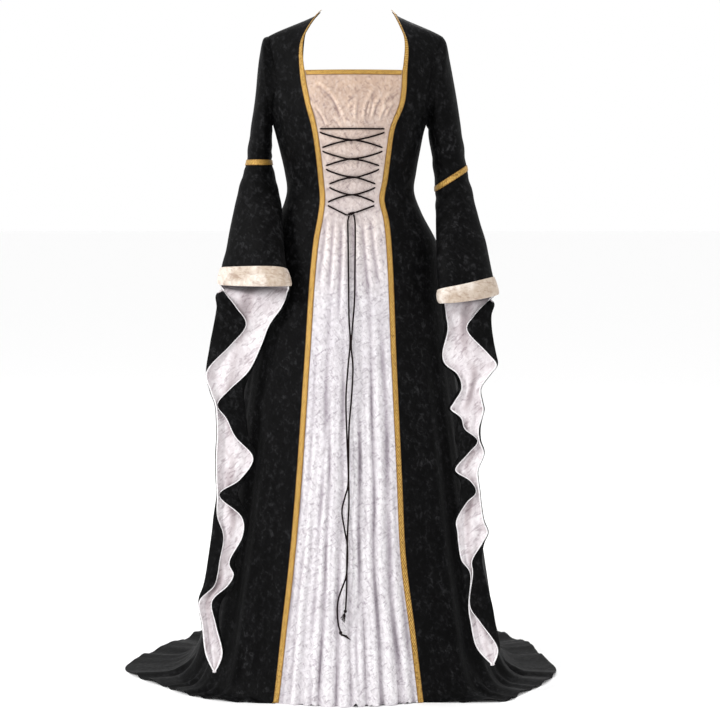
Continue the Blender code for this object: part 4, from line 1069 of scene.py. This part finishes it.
def sleeveWrinkles(grid, facing, seam, hem, side):  # soft drags round the elbow and down the flare
    rows, columns = grid.shape[:2]
    besideBand, besideMouth, besideArmhole = wrinkle["calm"]
    r = np.arange(rows)[:, None]
    k = np.arange(columns)[None, :] / columns * 2 * np.pi
    down = np.clip((r - seam) / (hem - seam), 0, 1)
    flare = wrinkle["flare"] * down * np.sin(3 * k + 1.2 + 0.8 * np.sin(r * 0.07) + side)
    bent = bell((r - seam) / wrinkle["elbowRows"])
    elbow = wrinkle["elbow"] * bent * np.sin(r * 0.9 + 1.6 * np.sin(k) + side)
    above = np.clip(1 - r / seam, 0, 1) * np.clip(r / besideArmhole, 0, 1)
    arm = wrinkle["arm"] * above * np.sin(2 * k + r * 0.25 + side * 2)
    push = (flare + elbow + arm) * (r < hem + 1)
    push = push * np.clip(np.abs(r - seam) / besideBand, 0, 1) * np.clip((hem + 1 - r) / besideMouth, 0, 1)
    return grid + facing * push[..., None]


def cuffGrid(grid, facing, hem, lifts):
    steps = sleeve["steps"]
    start, end = -cuff["past"], sleeve["columns"] // 2 + cuff["past"]
    around = np.arange(start, end + 1)
    place = (around - start) / (end - start)
    heights = cuff["end"] + (cuff["middle"] - cuff["end"]) * np.sin(np.pi * place) ** cuff["round"]
    rows, normals = [], []
    for share in np.linspace(1, 0, len(lifts)):
        at = hem - heights * share * steps
        low = np.floor(at).astype(int)
        t = (at - low)[:, None]
        high = np.minimum(low + 1, hem)
        rows.append(grid[low, around] * (1 - t) + grid[high, around] * t)
        normals.append(facing[low, around] * (1 - t) + facing[high, around] * t)
    rows, normals = np.array(rows), np.array(normals)
    normals /= np.linalg.norm(normals, axis=2, keepdims=True)
    return rows + normals * np.array(lifts)[:, None, None]


def armholeFacing(side):  # the body's own direction outwards round the armhole
    frontEdge = leftFacing[:armpitRow + 1, -1] if side > 0 else rightFacing[:armpitRow + 1, 0]
    backEdge = leftBackFacing[:armpitRow + 1, 0] if side > 0 else rightBackFacing[:armpitRow + 1, -1]
    half = sleeve["columns"] // 2
    keys = np.linspace(0, half, len(sleeve["upShares"]))
    facing = []
    for k in range(sleeve["columns"]):
        if k <= half:
            edge, up = frontEdge, float(np.interp(k, keys, sleeve["upShares"][::-1]))
        else:
            edge, up = backEdge, float(np.interp(k - half, keys, sleeve["upShares"]))
        facing.append([np.interp(up, ups[::-1], edge[::-1, axis]) for axis in range(3)])
    return np.array(facing)


def roundPiece(name, runs, radius, material, resolution):  # round runs of lace or piping
    data = bpy.data.curves.new(name, "CURVE")
    data.dimensions = "3D"
    data.bevel_depth = radius
    data.bevel_resolution = resolution
    data.use_fill_caps = True
    for run in runs:
        spline = data.splines.new("POLY")
        spline.points.add(len(run) - 1)
        for place, point in zip(spline.points, run):
            place.co = (*map(float, point), 1)
    piece = bpy.data.objects.new(name, data)
    data.materials.append(material)
    bpy.context.scene.collection.objects.link(piece)
    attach(piece, "root")
    return piece


def liningFolds(rows, columns, start, seed):  # soft folds that slant from the spine to the free edges, with painted shade: lighter on the folds' crests, darker down the spine
    half = columns // 2
    r = np.arange(start, start + rows)[:, None]
    c = np.arange(columns)[None, :]
    across = np.where(c == 0, 1.0, np.where(c < half, 0.0, (c - half) / half))
    fade = np.clip(np.minimum(across, 1 - across) * 7, 0, 1)
    away = np.abs(across - 0.5)
    slant = np.sin(r * 0.33 + away * 9 + 1.4 * np.sin(r * 0.11 + seed) + seed * 2)
    second = np.sin(r * 0.71 - away * 6 + 1.9 * np.sin(r * 0.17 + seed * 3))
    folds = (0.62 * slant + 0.38 * second) * np.clip(away * 4, 0, 1)
    spine = bell((across - 0.5 - 0.03 * np.sin(r * 0.13 + seed)) / liningShape["spineHalf"])
    flatFrom, flatOver = liningShape["flat"]
    flat = np.clip((flatFrom - away) / flatOver, 0, 1)
    bulge = liningShape["fold"] * (folds + 1) - liningShape["spine"] * spine + liningShape["lift"]
    plain, foldShade, spineShade = liningShape["shade"]
    # painted shade and highlight: lighter on the folds' crests, darker down the spine; near the free edges,
    # where the folds fade out, it is held light
    paintedShade = plain + foldShade * folds - spineShade * spine * (0.7 + 0.3 * np.sin(r * 0.21))
    paintedShade = np.clip(paintedShade, 0, 1) * fade + liningShape["edgeShade"] * (1 - fade)
    return np.maximum(bulge * fade * flat, 0), paintedShade


def braidEdgeShade(shares):  # a braid is painted darker along both its edges: painted shade where its dome falls away
    return 0.5 - 0.5 * np.abs(shares) ** 3


def makeSleeve(side, word):
    flip = side < 0
    columns, half = sleeve["columns"], sleeve["columns"] // 2
    grid, seam, hem = sleeveGrid(side)
    turn = -1 if flip else 1
    facing = gridNormals(grid, True) * turn
    tailColumns = list(range(half, columns)) + [0]
    tail = grid[hem:][:, tailColumns]
    tailFacing = gridNormals(tail) * turn
    facing[hem + 1:, half:] = tailFacing[1:, :-1]
    facing[hem + 1:, 0] = tailFacing[1:, -1]
    grid = sleeveWrinkles(grid, facing, seam, hem, side)
    cloth, gap = body["cloth"], body["seamGap"]
    inner = grid - facing * cloth
    inner[0] = grid[0] + (grid[1] - grid[0]) * 0.02 - facing[1] * cloth
    bodyOut = armholeFacing(side)  # the seam allowance, turned in behind the body's edge
    tuck = grid[0] - bodyOut * (cloth + sleeve["tuckGap"]) - np.array((side * sleeve["tuckIn"], 0, 0))
    neck = grid[0] - bodyOut * (cloth + sleeve["tuckGap"]) * 0.5
    outerRows = np.concatenate([[tuck, neck], grid[:seam + 1]])
    innerRows = np.concatenate([[tuck - bodyOut * cloth, neck - bodyOut * cloth], inner[:seam + 1]])
    upper = clothWall("sleeveUpper" + word, outerRows, innerRows, blackVelvet, True, flip)
    standsFor(upper, "sleeve_upper_" + word.lower())

    used = np.ones((len(grid) - 1 - seam, columns), bool)
    used[hem - seam:, :half] = False
    layers = []
    for layer in (grid, inner):
        rows = layer[seam:].copy()
        step = rows[1] - rows[0]
        rows[0] += step / np.linalg.norm(step, axis=1, keepdims=True) * gap
        layers.append(rows)
    lower = clothWall("sleeveLower" + word, *layers, blackVelvet, True, flip, used)
    standsFor(lower, "sleeve_lower_" + word.lower())

    start = hem - 2 * sleeve["steps"]
    used = np.ones((len(grid) - 1 - start, columns), bool)
    used[hem - start:, :half] = False
    bulge, paintedShade = liningFolds(len(grid) - start, columns, start, side)
    linings = [(grid[start:] - facing[start:] * (cloth + gap + deep)[..., None])
               for deep in (np.zeros(bulge.shape), sleeve["liningWall"] + bulge)]
    lining = clothWall("sleeveLining" + word, *linings, silverLining, True, flip, used, paintedShade)
    standsFor(lining, "sleeve_lining_" + word.lower())

    turned = clothWall("cuff" + word, cuffGrid(grid, facing, hem, cuff["outer"]),
                       cuffGrid(grid, facing, hem, cuff["inner"]), cuffVelvet, flip=flip)
    standsFor(turned, "cuff_" + word.lower())

    rows, normals = [], []
    bandShares = np.linspace(-1, 1, len(band["across"]))
    for distance in bandShares * band["half"]:
        beside = grid[seam - 2] if distance < 0 else grid[seam + 2]
        step = beside - grid[seam]
        rows.append(grid[seam] + step / np.linalg.norm(step, axis=1, keepdims=True) * abs(distance))
        normals.append(facing[seam])
    rows, normals = np.array(rows), np.array(normals)
    dome = (band["gap"] + band["wall"] * np.array(band["across"]))[:, None, None]
    shade = np.tile(braidEdgeShade(bandShares)[:, None], (1, columns))
    strip = clothWall("armband" + word, rows + normals * dome, rows + normals * band["gap"], goldBraid,
                      True, flip, paintedShade=shade)
    standsFor(strip, "armband_" + word.lower())

    edges = (grid - facing * (cloth + piping["inside"]))[hem:][:, tailColumns]
    rolled = evenly(np.concatenate([edges[:, 0], edges[-1, 1:-1], edges[::-1, -1]]), piping["points"])
    roundPiece("piping" + word, [rolled], piping["radius"], pipingVelvet, 2)
    return upper, lower, lining, turned, strip


print("stage: sleeves")
rightSleeve = makeSleeve(-1, "Right")
leftSleeve = makeSleeve(1, "Left")


# gold braid, laid on the panels' own points
braid = {
    "half": 0.006, "gap": 0.0006, "wall": 0.0014, "topWidth": 0.0105,
    "across": 7,
    "reach": 10,          # cells of a panel that the braid can lie over
    "neckReach": 14,
    "onFloor": 0.0012,
    "endGap": 0.0004,
}


def walk(line, distances, turned=None):  # at these distances along a row: its points, or another value
    steps = np.linalg.norm(np.diff(line, axis=0), axis=1)
    run = np.concatenate([[0], np.cumsum(steps)])
    values = line if turned is None else turned
    return np.stack([np.interp(distances, run, values[:, k]) for k in range(3)], axis=1)


def braidWall(name, node, places, normals, sideways):
    facing = normals / np.linalg.norm(normals, axis=2, keepdims=True)
    shares = np.linspace(-1, 1, places.shape[1])
    lift = braid["gap"] + braid["wall"] * (0.55 + 0.45 * np.clip(1 - np.abs(shares) ** 5, 0, 1))
    outer = offFloor(places + facing * lift[None, :, None], floorZ + braid["onFloor"])
    inner = offFloor(places + facing * braid["gap"], floorZ)
    shade = np.tile(braidEdgeShade(shares), (len(places), 1))
    if sideways:
        outer, inner, shade = outer.transpose(1, 0, 2), inner.transpose(1, 0, 2), shade.T
    return standsFor(clothWall(name, outer, inner, goldBraid, paintedShade=shade), node)


def frontBraid(word, sideOuter, sideFacing, atStart, node):
    distances = np.linspace(0, braid["half"], braid["across"] // 2 + 1)
    fromStart, fromEnd = slice(0, braid["reach"]), slice(-1, -braid["reach"] - 1, -1)
    onSide, onPanel = (fromStart, fromEnd) if atStart else (fromEnd, fromStart)
    places, normals = [], []
    for r in range(sideOuter.shape[0]):
        line = sideOuter[r][onSide]
        sidePoints = walk(line, distances)
        sideNormals = walk(line, distances, sideFacing[r][onSide])
        if r < neckRow:  # above the panel the braid goes straight on past the edge
            panelPoints = sidePoints[0] * 2 - sidePoints
            panelNormals = np.repeat(sideNormals[:1], len(distances), axis=0)
        else:
            line = panelOuter[r - neckRow][onPanel]
            panelPoints = walk(line, distances)
            panelNormals = walk(line, distances, panelFacing[r - neckRow][onPanel])
        points = np.concatenate([panelPoints[::-1], sidePoints[1:]])
        turns = np.concatenate([panelNormals[::-1], sideNormals[1:]])
        places.append(points if atStart else points[::-1])
        normals.append(turns if atStart else turns[::-1])
    places, normals = np.array(places), np.array(normals)
    places[0] += (places[1] - places[0]) * 0.02
    return braidWall("trim" + word, node, places, normals, False)


def topBraid():
    distances = np.linspace(0, braid["topWidth"], braid["across"])
    places, normals = [], []
    for c in range(panelOuter.shape[1]):
        fromEdge = min(np.linalg.norm(panelOuter[0, c] - panelOuter[0, end]) for end in (0, -1))
        if fromEdge < braid["half"] + braid["endGap"]:
            continue
        places.append(walk(panelOuter[:braid["reach"], c], distances))
        normals.append(np.repeat(panelFacing[:1, c], len(distances), axis=0))
    return braidWall("trimTop", "trim_top", np.array(places), np.array(normals), True)


def halfNeckBraid(outer, facing, edge, step, columns):  # down from the shoulder, and then to the middle
    distances = np.linspace(0, braid["topWidth"], braid["across"])
    places, turns = [], []
    for r in range(neckRow):
        places.append(walk(outer[r][edge::step][:braid["neckReach"]], distances))
        turns.append(facing[r, edge])
    under = slice(neckRow, neckRow + braid["reach"])
    beside = walk(outer[neckRow][edge::step][:braid["neckReach"]], distances)
    places.append(beside + walk(outer[under, edge], distances) - outer[neckRow, edge])
    turns.append(facing[neckRow, edge])
    for c in columns:
        places.append(walk(outer[under, c], distances))
        turns.append(facing[neckRow, c])
    return places, [np.repeat(turned[None], len(distances), axis=0) for turned in turns]


def backNeckBraid():
    edgeLeft, edgeRight = fineColumns["sideBack"], fineColumns["back"]
    leftPlaces, leftTurns = halfNeckBraid(
        leftBackOuter, leftBackFacing, edgeLeft, -1, range(edgeLeft + 1, leftBackOuter.shape[1]))
    rightPlaces, rightTurns = halfNeckBraid(
        rightBackOuter, rightBackFacing, edgeRight, 1, range(edgeRight - 1, 0, -1))
    places = np.array(leftPlaces + rightPlaces[::-1])
    normals = np.array(leftTurns + rightTurns[::-1])
    places[0] += (places[1] - places[0]) * 0.05
    places[-1] += (places[-2] - places[-1]) * 0.05
    return braidWall("trimBackNeck", "trim_back_neck", places, normals, True)


print("stage: gold braid")
trimLeft = frontBraid("FrontLeft", leftOuter, leftFacing, True, "trim_front_left")
trimRight = frontBraid("FrontRight", rightOuter, rightFacing, False, "trim_front_right")
trimTop = topBraid()
trimBack = backNeckBraid()


# the lace: its crossings, the knot at the waist and the two free ends
lace = {
    "wide": 0.0036,
    "pieces": 40,          # straight pieces in a laced run
    "clear": 0.0004,       # above the panel
    "dive": -0.0012,       # where a run ends in the panel
    "nearDive": 0.0008,
    "hop": 0.0049,         # over the run that it crosses
    "hopSpread": 0.34,
    "step": 0.004,
    "barRise": 0.0035,
    "steep": 1.5,
    "knot": (0.0015, -0.4335),
    "knotHalf": 0.0100,
    "knotTilt": -0.003,
    "knotThick": 0.0036,
    "hang": 0.0045,        # a free end's way out from the skirt's section
    "skirtFolds": (-0.6, 0.4, 0.009),  # the folds' top, how far down they grow, their height
    "hopGrowth": 0.05,
    "tufts": (-0.0011, -0.0005, 0.0, 0.0006, 0.0012),
    "tuftThread": 0.0008,
    "tuftSpread": (1.1, 0.8, 1.3),
    "eyelets": [
        # z, right, left
        (-0.258, -0.0645, 0.0710), (-0.2975, -0.0593, 0.0667), (-0.3355, -0.0520, 0.0597),
        (-0.374, -0.0448, 0.0517), (-0.4125, -0.0480, 0.0493),
    ],
    "starts": {-1: (-0.0035, -0.4380), 1: (0.0065, -0.4358)},
    "ends": {
        -1: [
            (-0.0062, -0.450), (-0.0055, -0.489), (-0.0045, -0.570), (-0.0036, -0.649), (-0.001, -0.701),
            (-0.006, -0.760), (-0.0098, -0.822), (-0.0075, -0.900), (-0.0046, -0.987), (-0.011, -1.018),
            (-0.018, -1.048), (-0.0125, -1.085), (-0.0062, -1.124), (-0.0085, -1.177), (-0.018, -1.205),
            (-0.0255, -1.228), (-0.0273, -1.250), (-0.0252, -1.276), (-0.0212, -1.2895),
        ],
        1: [
            (0.0092, -0.452), (0.0097, -0.489), (0.0090, -0.550), (0.008, -0.617), (0.003, -0.680),
            (0.0012, -0.712), (0.0049, -0.755), (0.002, -0.815), (-0.0030, -0.874), (-0.0040, -0.930),
            (-0.0040, -0.985), (-0.0033, -1.032), (-0.0060, -1.090), (-0.0074, -1.144), (-0.0078, -1.203),
            (-0.0100, -1.2455),
        ],
    },
    "lengths": {-1: 0.867, 1: 0.818},
    "endKnots": {-1: (-0.0200, -1.2945, 0.0042), 1: (-0.0109, -1.2505, 0.0038)},
    "frays": {
        -1: [(-0.0165, -1.2985), (-0.0100, -1.3015), (-0.0035, -1.3040)],
        1: [(-0.0120, -1.2560), (-0.0140, -1.2620), (-0.0165, -1.2690)],
    },
}
panelZ = panelOuter[:, panelOuter.shape[1] // 2, 2]


def frontPoint(x, z, lift):  # a point this far out from the front panel
    r = int(np.clip(np.searchsorted(-panelZ, -z, side="right") - 1, 0, len(panelZ) - 2))
    t = (panelZ[r] - z) / (panelZ[r] - panelZ[r + 1])
    line = panelOuter[r] * (1 - t) + panelOuter[r + 1] * t
    turned = panelFacing[r] * (1 - t) + panelFacing[r + 1] * t
    c = int(np.clip(np.searchsorted(line[:, 0], x, side="right") - 1, 0, len(line) - 2))
    s = (x - line[c, 0]) / (line[c + 1, 0] - line[c, 0])
    normal = turned[c] * (1 - s) + turned[c + 1] * s
    return line[c] * (1 - s) + line[c + 1] * s + normal / np.linalg.norm(normal) * lift


def laceCurve(name, runs, radius):
    return roundPiece(name, runs, radius, darkLace, 3)


def laceRun(name, node, start, end, hop=0.0, steep=1.0, dive=(True, True)):
    run = []
    last = lace["pieces"]
    for i in range(last + 1):
        t = i / last
        swing = 2 * t - 1
        share = 0.5 + 0.5 * math.copysign(abs(swing) ** steep, swing)
        x = start[0] + (end[0] - start[0]) * t
        z = start[1] + (end[1] - start[1]) * share
        over = hop * math.exp(-(swing / lace["hopSpread"]) ** 2)
        lift = lace["wide"] / 2 + lace["clear"] + over
        if (dive[0] and i == 0) or (dive[1] and i == last):
            lift = lace["dive"]
        elif (dive[0] and i == 1) or (dive[1] and i == last - 1):
            lift = lace["nearDive"]
        run.append(frontPoint(x, z, lift))
    piece = laceCurve(name, [run], lace["wide"] / 2)
    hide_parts(node)
    return piece


print("stage: lacing")
barZ = lace["eyelets"][0][0] + lace["barRise"]
laceRun("laceBar", "lace_bar", (lace["eyelets"][0][1], barZ), (lace["eyelets"][0][2], barZ))
for k in range(len(lace["eyelets"]) - 1):
    high, low = lace["eyelets"][k], lace["eyelets"][k + 1]
    highZ, lowZ = high[0] - lace["step"], low[0] + lace["step"]
    overRight = lace["hop"] if k % 2 else 0.0
    laceRun("laceCross%dRight" % (k + 1), "lace_cross_%d_right" % (k + 1), (high[1], highZ), (low[2], lowZ),
            overRight, lace["steep"])
    laceRun("laceCross%dLeft" % (k + 1), "lace_cross_%d_left" % (k + 1), (high[2], highZ), (low[1], lowZ),
            lace["hop"] - overRight, lace["steep"])
lowest = lace["eyelets"][-1]
knotX, knotZ = lace["knot"]
for word, x, sign in (("Right", lowest[1], -1), ("Left", lowest[2], 1)):
    laceRun("laceToKnot" + word, "lace_to_knot_" + word.lower(), (x, lowest[0] - lace["step"]),
            (knotX + sign * lace["knotHalf"], knotZ - sign * lace["knotTilt"]), dive=(True, False))


def woundKnot(name, centre, reach, radius, turns, thread, node):  # turns of lace round a short bar
    reach = np.array(reach, float)
    length = np.linalg.norm(reach)
    axis = reach / length
    side = np.cross(axis, (0, 1, 0))
    side /= np.linalg.norm(side)
    up = np.cross(side, axis)
    bar = [np.array(centre) + axis * length * s for s in np.linspace(-1, 1, 9)]
    coil = []
    for i in range(turns * 14 + 1):
        t = i / (turns * 14)
        turn = 2 * math.pi * turns * t
        wide = radius * math.sin(math.pi * (0.12 + 0.76 * t)) ** 0.6
        coil.append(np.array(centre) + axis * length * 0.62 * (2 * t - 1)
                    + (side * math.cos(turn) + up * math.sin(turn)) * wide)
    piece = laceCurve(name, [bar, coil], thread)
    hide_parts(node)
    return piece


knotPlace = frontPoint(knotX, knotZ, lace["knotThick"] + 0.0006)
woundKnot("laceKnot", knotPlace, (lace["knotHalf"] - 0.0006, 0, -lace["knotTilt"]), 0.0023, 3, 0.00155,
          "lace_knot")
foldsTop, foldsGrowth, foldsHeight = lace["skirtFolds"]
for side, word, lift in ((-1, "Right", 0.0), (1, "Left", lace["hop"])):
    x, z = lace["starts"][side]
    route = [(x, float(knotPlace[1]), z)]
    for x, z in lace["ends"][side]:
        ridge = max(0.0, min(1.0, (foldsTop - z) / foldsGrowth)) * foldsHeight
        grown = min(1.0, (route[0][2] - z) / lace["hopGrowth"])
        route.append((x, -section(z)[1] - ridge - lace["hang"] - lift * grown, z))
    run = evenly(throughPoints(np.array(route), 12), 90)
    free = laceCurve("laceEnd" + word, [run], lace["wide"] / 2)
    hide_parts("lace_end_" + word.lower())
    x, z, size = lace["endKnots"][side]
    last = np.array(route[-1])
    down = np.array((x, last[1], z)) - last
    down /= np.linalg.norm(down)
    centre = last + down * (size + 0.0001)
    knot = woundKnot("laceEndKnot" + word, centre, down * size, size * 0.62, 3, 0.0013,
                     "lace_end_knot_" + word.lower())
    tip = centre + down * (size + 0.0006)
    strands = []
    across, forward, fall = lace["tuftSpread"]
    for shift in lace["tufts"]:
        path = [tip, tip + down * 0.0015]
        for i, (x, z) in enumerate(lace["frays"][side], 1):
            path.append(np.array((x + shift * i * across, last[1] + abs(shift) * forward, z - shift * i * fall)))
        strands.append(evenly(throughPoints(np.array(path), 6), 16))
    tuft = laceCurve("laceTip" + word, strands, lace["tuftThread"])
    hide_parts("lace_tip_" + word.lower())
    print("lace end", word, round(float(np.linalg.norm(np.diff(run, axis=0), axis=1).sum()), 4))


# floor and lights
studio = {"floor": 0.97, "world": 1.0}
bpy.ops.object.select_all(action="DESELECT")
bpy.ops.mesh.primitive_plane_add(size=60, location=(0, 20, floorZ))
floor = bpy.context.object
floor.name = "floor"
paleFloor, nodes, links, shader = newMaterial("paleFloor")
shader.inputs["Base Color"].default_value = (studio["floor"], studio["floor"], studio["floor"], 1)
shader.inputs["Roughness"].default_value = 0.9
floor.data.materials.append(paleFloor)
world = bpy.data.worlds.new("studio")
bpy.context.scene.world = world
world.use_nodes = True
world.node_tree.nodes["Background"].inputs["Color"].default_value = (1, 1, 1, 1)
world.node_tree.nodes["Background"].inputs["Strength"].default_value = studio["world"]
for name, place, aim, size, power in (
        ("keyLight", (-3.3, -2.4, 1.6), (0, 0, -0.6), 0.9, 105),
        ("fillLight", (2.9, -3.0, 1.2), (0, 0, -0.7), 2.0, 14),
        ("backLight", (0.4, 3.2, 2.2), (0, 0, -0.5), 1.8, 60)):
    lamp = bpy.data.lights.new(name, "AREA")
    lamp.size = size
    lamp.energy = power
    holder = bpy.data.objects.new(name, lamp)
    bpy.context.scene.collection.objects.link(holder)
    holder.location = place
    holder.rotation_euler = (Vector(aim) - Vector(place)).to_track_quat("-Z", "Y").to_euler()
bpy.context.scene.view_settings.view_transform = "Standard"
